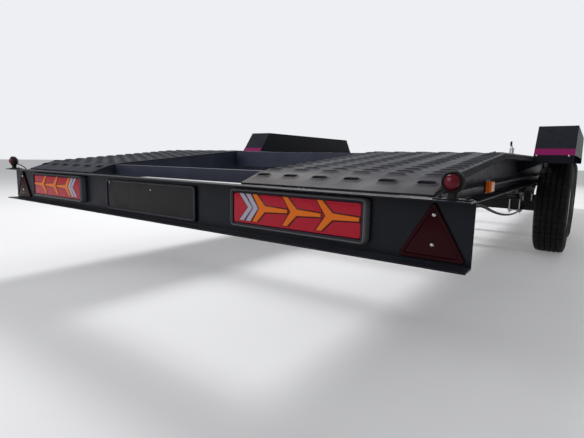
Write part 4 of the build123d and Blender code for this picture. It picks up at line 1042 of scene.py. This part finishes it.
nuts = Shape()
clips = Shape()
for sign in SIGNS:
    x = sign * SPRING_X
    for y in AXLE_YS:
        for across in (-31, 31):
            for along in (-37, 37):
                nuts.hexagon((x + across, y + along, PLATE_TOP), DOWN, 9.5, 9)
        nuts.hexagon((x, y, SPRING_TOP + 3), UP, 9, 8)
        for along in (-150, 150):
            top = SPRING_TOP + SPRING_CAMBER * (along / SPRING_HALF) ** 2 + 3.5
            bottom = top - LEAVES - 4.5
            y0, y1 = y + along - 11, y + along + 11
            clips.box((x - CLIP_HALF, y0, bottom), (x - CLIP_HALF + 2.5, y1, top))
            clips.box((x + CLIP_HALF - 2.5, y0, bottom), (x + CLIP_HALF, y1, top))
            clips.box((x - CLIP_HALF, y0, bottom - 2), (x + CLIP_HALF, y1, bottom))
            end = Vector((x + CLIP_HALF, y + along, top - 2))
            clips.rod(end - Vector((2 * CLIP_HALF + 4, 0, 0)), end + Vector((4, 0, 0)), 4.0, 10)
            clips.hexagon(end, RIGHT, 7, 5)
    for y in PIVOTS:
        for face in SIGNS:
            nuts.turned(WASHER, (x, y, EYE_Z), (face, 0, 0), 20, loop=True)
            nuts.turned(THREAD_END, (x, y, EYE_Z), (face, 0, 0), 12)
nuts.piece("spring_nuts", "zinc_steel", bevel=0.4)
clips.piece("spring_clips", "spring_steel", bevel=0.6)


# ---- plate holder's rim, strips and the markers' leads

HOLDER_WIDTH, _, HOLDER_HEIGHT = high("plate_holder") - low("plate_holder")
HOLDER_FACE = low("plate_holder").y
HOLDER_Z = middle("plate_holder").z
# Rings of the raised rim: inset, lift off the face
HOLDER_RIM = ((1.0, -1.0), (1.6, 1.6), (4.5, 2.4), (7.4, 1.6), (8.0, -1.0))
rows = []
for inset, lift in HOLDER_RIM:
    outline = rounded_rectangle(HOLDER_WIDTH - 2 * inset, HOLDER_HEIGHT - 2 * inset, 17.0 - inset)
    rows.append([(x, HOLDER_FACE - lift, HOLDER_Z + z) for x, z in outline])
rim = Shape()
rim.loft(rows, capped=False)
# The rim is drawn in a lighter plastic, a painted highlight along its bead
rim.piece("plate_holder_rim", "holder_rim", bevel=0.5)

# Reflective strips on the mudguards' sloped rear ends, with two screws at the lower edge
STRIP_LOW = low("mudguard_strips")
STRIP_HIGH = high("mudguard_strips")
STRIP_RUN = 36.0
STRIP_THICK = 2.2
STRIP_INNER = min(abs(v.co.x) for v in nodes["mudguard_strips"].data.vertices) / MM
STRIP_SLOPE = (STRIP_HIGH.y - STRIP_LOW.y - 2.0) / (STRIP_HIGH.z - STRIP_LOW.z)
CARRIER_FACE = low("mudguard_carriers").y
STRIP_SCREW = ((-0.5, 5.0), (0.9, 5.0), (2.2, 3.6), (2.8, 1.6), (2.8, 0.0))
strips = Shape()
strip_screws = Shape()
for sign in SIGNS:
    y, z = STRIP_LOW.y, STRIP_LOW.z
    tip = y + STRIP_SLOPE * STRIP_RUN
    section = ((y, z), (tip, z + STRIP_RUN), (tip + STRIP_THICK, z + STRIP_RUN), (y + STRIP_THICK, z))
    strips.loft([[(sign * x, *p) for p in section] for x in (STRIP_INNER + 0.5, STRIP_HIGH.x - 0.5)])
    for share in (0.07, 0.86):
        x = sign * (STRIP_INNER + share * (STRIP_HIGH.x - STRIP_INNER))
        strip_screws.turned(STRIP_SCREW, (x, CARRIER_FACE, z - 3), BEHIND, 16)
strips.piece("reflective_strips", "strip_pink", replaces=("mudguard_strips",), bevel=0.4)
strip_screws.piece("strip_screws", "zinc_steel")

# Each marker's short lead passes over the beam's front edge into a grommet in the web
LEAD_X = 1036.0
LEAD_RADIUS = 2.2
# X, distance ahead of the web, height over the beam
LEAD_ROUTE = (
    (MARKER_X - 8, -15, 26),
    (MARKER_X - 20, -8, 22),
    (LEAD_X + 8, 0, 14),
    (LEAD_X, 9, 5),
    (LEAD_X, 14, -7),
    (LEAD_X, 9, -16),
    (LEAD_X, 3, -17),
)
GROMMET = ((0, 2.4), (0, 6.0), (2, 6.0), (4.5, 4.0), (6.5, 2.4))
FRONT_LENS = ((-2, 0), (-2, LENS_RADIUS - 2), (4, LENS_RADIUS - 2.5))
FRONT_LENS += ((7, LENS_RADIUS - 6), (8.5, LENS_RADIUS - 12), (8.8, 0))
grommets = Shape()
fronts = Shape()
for side, sign in SIDES:
    route = [(sign * x * MM, at(s) * MM, (BEAM_TOP + z) * MM) for x, s, z in LEAD_ROUTE]
    smooth_line(f"marker_lead_{side}", route, LEAD_RADIUS * MM, 3, 6)
    grommets.turned(GROMMET, (sign * LEAD_X, at(STEEL), BEAM_TOP - 17), AHEAD, 20, loop=True)
    fronts.turned(FRONT_LENS, (sign * MARKER_X, MARKER_BACK, MARKER_Z), AHEAD, 36)
grommets.piece("lead_grommets", "black_rubber")
fronts.piece("marker_front_lenses", "lamp_grey")


# ---- drawbar: bolts, gaiter, coupling and handbrake

ARM_SLOPE = 0.2942
ARM_ROOT = 98.0
HEAD_FRONT = high("drawbar_head_plates").y
HEAD_TOP = high("drawbar_head_plates").z
HEAD_BOTTOM = low("drawbar_head_plates").z
bits = Shape()
for sign in SIGNS:
    for back in (374.0, 224.0, 34.0):
        x = sign * (ARM_ROOT + ARM_SLOPE * back)
        bits.bolt((x, HEAD_FRONT - back, HEAD_TOP), UP, 10, 8)
        bits.bolt((x, HEAD_FRONT - back, HEAD_BOTTOM), DOWN, 10, 9)
    for back in (289.0, 29.0):
        bits.bolt((sign * 27, HEAD_FRONT - back, HEAD_TOP), UP, 8, 7)

SHAFT_Z = middle("overrun_gaiter").z
GAITER_BACK = low("overrun_gaiter").y
GAITER_LENGTH = high("overrun_gaiter").y - GAITER_BACK
FOLDS = 6
FOLD_STEPS = 8
# The gaiter's cuff, mirrored to its front end, and the folds between them
CUFF = [(0, 26.5), (0, 39.5), (8, 39.5), (9, 38)]
bellows = list(CUFF)
for i in range(FOLDS * FOLD_STEPS + 1):
    share = i / (FOLDS * FOLD_STEPS)
    bellows.append((10 + (GAITER_LENGTH - 20) * share, 39.0 - 4.5 * cos(2 * pi * FOLDS * share)))
bellows += [(GAITER_LENGTH - reach, radius) for reach, radius in reversed(CUFF)]
gaiter = Shape()
gaiter.turned(bellows, (0, GAITER_BACK, SHAFT_Z), AHEAD, 48, loop=True)
gaiter.piece("gaiter_bellows", "black_rubber", replaces=("overrun_gaiter",))
for start in (1.5, GAITER_LENGTH - 6.5):
    y = GAITER_BACK + start
    bits.turned([(0, 39.3), (0, 40.6), (5, 40.6), (5, 39.3)], (0, y, SHAFT_Z), AHEAD, 48, loop=True)
    bits.rod((-7, y + 2.5, SHAFT_Z + 43), (7, y + 2.5, SHAFT_Z + 43), 3.2, 10, 0.6)

# Grease nipple on the guide tube, bolts through the coupling's collar, and the handle's pin
NIPPLE = ((-2, 0), (-2, 5), (4, 5), (5, 2.6), (8, 3.4), (10, 2.2), (10, 0))
bits.turned(NIPPLE, (0, GAITER_BACK - 45, SHAFT_Z + 40), UP, 12)
for sign in SIGNS:
    bits.bolt((sign * 32.5, low("coupling_head").y + 22, SHAFT_Z), (sign, 0, 0), 10, 8)
handle_low, handle_high = low("coupling_handle"), high("coupling_handle")
y, z = handle_high.y - 16, handle_low.z + 9
bits.rod((-16, y, z), (16, y, z), 5.0, 16, 1.0)
bits.piece("drawbar_bolts", "zinc_steel", bevel=0.3)
ribs = Shape()
for i in range(7):
    ahead = 8 + 8 * i
    y, z = handle_low.y + ahead, handle_high.z - 0.108 * ahead - 0.4
    ribs.rod((-11, y, z), (11, y, z), 1.7, 8, 0.5)
ribs.piece("handle_ribs", "black_plastic")

# Handbrake: ribbed grip, release button, pivot bolt and the quadrant's teeth
LEVER_LENGTH = 330.0
PIVOT = Vector((38.0, HEAD_FRONT - 120.0, HEAD_TOP + 40.0))
LEVER_LINE = Vector((0, -cos(radians(38)), sin(radians(38))))
TOOTH = ((56.5, -0.045), (61.5, -0.012), (61.5, 0.012), (56.5, 0.045))
grip_profile = [(0, 0), (0, 14.8), (2, 16.4)]
for start in range(8, 94, 14):
    grip_profile += [(start, 17.0), (start + 2, 15.5), (start + 7, 15.5), (start + 9, 17.0)]
grip_profile += [(110, 16.6), (113, 14.5), (114, 10), (114, 0)]
grip = Shape()
grip.turned(grip_profile, PIVOT + LEVER_LINE * (LEVER_LENGTH - 112), LEVER_LINE, 28)
grip.piece("handbrake_grip", "black_rubber")
fittings = Shape()
fittings.rod(PIVOT + LEVER_LINE * (LEVER_LENGTH + 1), PIVOT + LEVER_LINE * (LEVER_LENGTH + 12), 6.0, 16, 1.2)
fittings.bolt((high("handbrake_lever").x - 10, PIVOT.y, PIVOT.z), RIGHT, 10, 8)
x = low("handbrake_lever").x + 2
for i in range(15):
    turn = radians(18 + 6 * i)
    tooth = [(x, PIVOT.y + r * cos(turn + shift), HEAD_TOP + r * sin(turn + shift)) for r, shift in TOOTH]
    fittings.prism(tooth, (8, 0, 0))
fittings.piece("handbrake_fittings", "zinc_steel", bevel=0.3)

# Brake rod: turnbuckle, lock nuts and the equaliser's cable ends
LINK_BACK = low("brake_linkage").y
ROD_Z = low("brake_linkage").z + 93.0
fittings = Shape()
for start, length, radius in ((1700.0, 90.0, 12.0), (1688.0, 9.0, 10.5), (1793.0, 9.0, 10.5)):
    sleeve = [(0, 6), (0, radius - 1), (2, radius), (length - 2, radius), (length, radius - 1), (length, 6)]
    fittings.turned(sleeve, (0, at(start), ROD_Z), AHEAD, 6, loop=True)
fittings.hexagon((0, LINK_BACK, ROD_Z), BEHIND, 11, 9)
for x in (-52, 52):
    fittings.hexagon((x, LINK_BACK, ROD_Z), BEHIND, 8, 6)
    fittings.rod((x, LINK_BACK - 12, ROD_Z), (x, LINK_BACK, ROD_Z), 3.5, 10, 0.6)
fittings.piece("brake_rod_fittings", "zinc_steel")


# ---- jockey wheel

JOCKEY_X = middle("jockey_tube").x
JOCKEY_Y = high("jockey_tube").y - 30.0
TUBE_LOW = low("jockey_tube").z
CRANK_Y = JOCKEY_Y - 100.0
ARM_TOP = high("jockey_tube").z - 70.0
ROLLER = middle("jockey_wheel")
HALF_TYRE = ((4, 98), (5, 100), (13, 99.4), (20, 96), (24.2, 89), (24.8, 80), (22, 70))
HALF_HUB = ((18, 71), (18, 66), (5, 62), (5, 24), (22, 21), (24.6, 19), (24.6, 8.3))
SPOKE = ((20, -2), (66, -2), (66, 2), (20, 2))
SPACER = ((0, 0), (0, 15), (2, 15), (2, 0))
COLLAR_RING = ((1, 25.4), (1, 28.5), (3, 30), (11, 30), (13, 28.5), (13, 25.4))
CRANK_SLEEVE = ((3, 11.1), (3, 12.8), (8, 13.9), (34, 14.6), (60, 13.6), (66, 12.2), (67, 11.1))

small_tyre = Shape()
section = [(-a, r) for a, r in reversed(HALF_TYRE)] + list(HALF_TYRE)
small_tyre.turned(section, ROLLER, RIGHT, 56, loop=True)
small_tyre.piece("jockey_tyre", "black_rubber", "jockey_roller", ("jockey_wheel",))

hub = Shape()
section = [(-a, r) for a, r in HALF_HUB] + list(reversed(HALF_HUB))
hub.turned(section, ROLLER, RIGHT, 40, loop=True)
for i in range(8):
    turn = pi * i / 4
    along = Vector((0, cos(turn), sin(turn)))
    across = Vector((0, -sin(turn), cos(turn)))
    spoke = [ROLLER + along * r + across * w + Vector((-14, 0, 0)) for r, w in SPOKE]
    hub.prism([tuple(p) for p in spoke], (28, 0, 0))
hub.piece("jockey_hub", "wheel_silver", "jockey_roller", ("jockey_wheel",), bevel=0.5)

axle_nuts = Shape()
for face, x in ((-1, low("jockey_fork").x), (1, high("jockey_fork").x)):
    axle_nuts.turned(SPACER, (x, ROLLER.y, ROLLER.z), (face, 0, 0), 24)
    axle_nuts.hexagon((x + 2 * face, ROLLER.y, ROLLER.z), (face, 0, 0), 12, 8)
axle_nuts.piece("jockey_axle_nuts", "zinc_steel", "jockey_caster")

collar = Shape()
collar.turned(COLLAR_RING, (JOCKEY_X, JOCKEY_Y, low("jockey_leg").z), UP, 36, loop=True)
collar.piece("jockey_leg_collar", "zinc_steel", "jockey_slider")

crank = Shape()
for start, height in ((0.0, 12.0), (170.0, 8.0), (395.0, 18.0)):
    half = [(0, 29.9), (0, 31.2), (1.5, 32.2)]
    band = half + [(height - a, r) for a, r in reversed(half)]
    crank.turned(band, (JOCKEY_X, JOCKEY_Y, TUBE_LOW + start), UP, 40, loop=True)
crank.hexagon((JOCKEY_X, JOCKEY_Y, ARM_TOP), UP, 10, 8)
crank.hexagon((JOCKEY_X, CRANK_Y, ARM_TOP - 8), DOWN, 9, 7)
# Clamp screw with its T-bar
x, z = high("jockey_clamp").x, middle("jockey_clamp").z
crank.hexagon((x - 2, JOCKEY_Y, z), RIGHT, 15, 12)
crank.rod((x + 8, JOCKEY_Y, z), (x + 40, JOCKEY_Y, z), 6.5, 16, 1.0)
crank.rod((x + 33, JOCKEY_Y - 38, z), (x + 33, JOCKEY_Y + 38, z), 5.0, 14, 1.2)
crank.piece("jockey_fittings", "zinc_steel", bevel=0.3)
crank_grip = Shape()
crank_grip.turned(CRANK_SLEEVE, (JOCKEY_X, CRANK_Y, ARM_TOP), UP, 28, loop=True)
crank_grip.piece("crank_grip", "black_plastic")


# ---- weld beads

BEAD_PITCH = 6.0
# Rear faces of the crossmembers and their heights
CROSSMEMBERS = ((920.0, 80.0), (1560.0, 80.0), (2670.0, 80.0), (3560.0, 80.0), (4440.0, 120.0), (5060.0, 120.0))


def weld_bead(shape, start, end, radius):
    """A rippled bead between two points."""
    start, end = Vector(start), Vector(end)
    length = (end - start).length
    count = max(2, round(length / BEAD_PITCH))
    step = length / count
    profile = [(0, 0), (0, 0.5 * radius)]
    for i in range(count):
        profile += [((i + 0.25) * step, radius), ((i + 0.8) * step, 0.72 * radius)]
    profile += [(length, 0.5 * radius), (length, 0)]
    shape.turned(profile, start, end - start, 8)


beads = Shape()
top = high("crossmembers").z
beam_low, beam_high = low("front_beam"), high("front_beam")
z = beam_low.z - 1
for sign in SIGNS:
    x = sign * (RUNWAY_INNER - 1.0)
    for station, height in CROSSMEMBERS:
        y = at(station) - 1.0
        weld_bead(beads, (x, y, top - height + 3), (x, y, top - 3), 3.2)
    for y, shift in ((beam_low.y, -1.5), (beam_high.y, 1.5)):
        x_arm = ARM_ROOT + ARM_SLOPE * (HEAD_FRONT - y)
        weld_bead(beads, (sign * (x_arm - 28), y + shift, z), (sign * (x_arm + 28), y + shift, z), 3.6)
beads.piece("weld_beads", "frame_paint")


# ---- floor and light

FLOOR_HALF = 40.0
FLOOR_SEEN = (0.74, 0.74, 0.75)
FLOOR_PLAIN = (0.42, 0.42, 0.43)
FLOOR_GLOW = 0.17
SKY = (0.90, 0.91, 0.94)
SKY_PLAIN = 0.40
SKY_SEEN = 0.95


def pale_floor():
    """Pale where it is seen or mirrored, plainer where it only passes light on."""
    n = Nodes("floor")
    seen = n.add("ShaderNodeLightPath").outputs
    mirrored = n.maths("MAXIMUM", seen["Is Glossy Ray"], seen["Is Transmission Ray"])
    shown = n.maths("MAXIMUM", seen["Is Camera Ray"], mirrored)
    cloud = n.noise(0.8, 5.0)
    tones = [n.ramp(cloud, (0.3, shade(colour, 0.95)), (0.7, colour)) for colour in (FLOOR_PLAIN, FLOOR_SEEN)]
    n.put("Base Color", n.mix(shown, *tones))
    n.put("Roughness", 0.7)
    n.put("Emission Color", (1.0, 1.0, 1.0))
    n.put("Emission Strength", n.times(shown, FLOOR_GLOW))
    return n.material


def make_stage():
    mesh = bpy.data.meshes.new("floor")
    corners = [(FLOOR_HALF * x, FLOOR_HALF * y, 0) for x, y in ((-1, -1), (1, -1), (1, 1), (-1, 1))]
    mesh.from_pydata(corners, [], [(0, 1, 2, 3)])
    mesh.materials.append(pale_floor())
    link("floor", mesh)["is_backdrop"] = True

    world = bpy.data.worlds.new("world")
    bpy.context.scene.world = world
    world.use_nodes = True
    tree = world.node_tree
    background = tree.nodes["Background"]
    background.inputs["Color"].default_value = (*SKY, 1)
    seen = tree.nodes.new("ShaderNodeLightPath")
    level = tree.nodes.new("ShaderNodeMapRange")
    level.inputs["To Min"].default_value = SKY_PLAIN
    level.inputs["To Max"].default_value = SKY_SEEN
    tree.links.new(seen.outputs["Is Camera Ray"], level.inputs["Value"])
    tree.links.new(level.outputs[0], background.inputs["Strength"])


def area_light(name, place, aim, size, power):
    data = bpy.data.lights.new(name, "AREA")
    data.shape = "RECTANGLE"
    data.size, data.size_y = size
    data.energy = power
    light = link(name, data)
    light.location = place
    light.rotation_euler = (Vector(aim) - Vector(place)).to_track_quat("-Z", "Y").to_euler()


make_stage()
area_light("key", (-2.6, 0.8, 5.6), (0.0, -1.2, 0.5), (1.8, 1.8), 300)
area_light("front", (0.0, 7.5, 5.0), (0.0, 0.0, 0.6), (6.0, 3.0), 170)
area_light("fill", (-3.5, -8.5, 3.6), (0.2, -2.5, 0.5), (5.0, 4.0), 200)

low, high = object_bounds()
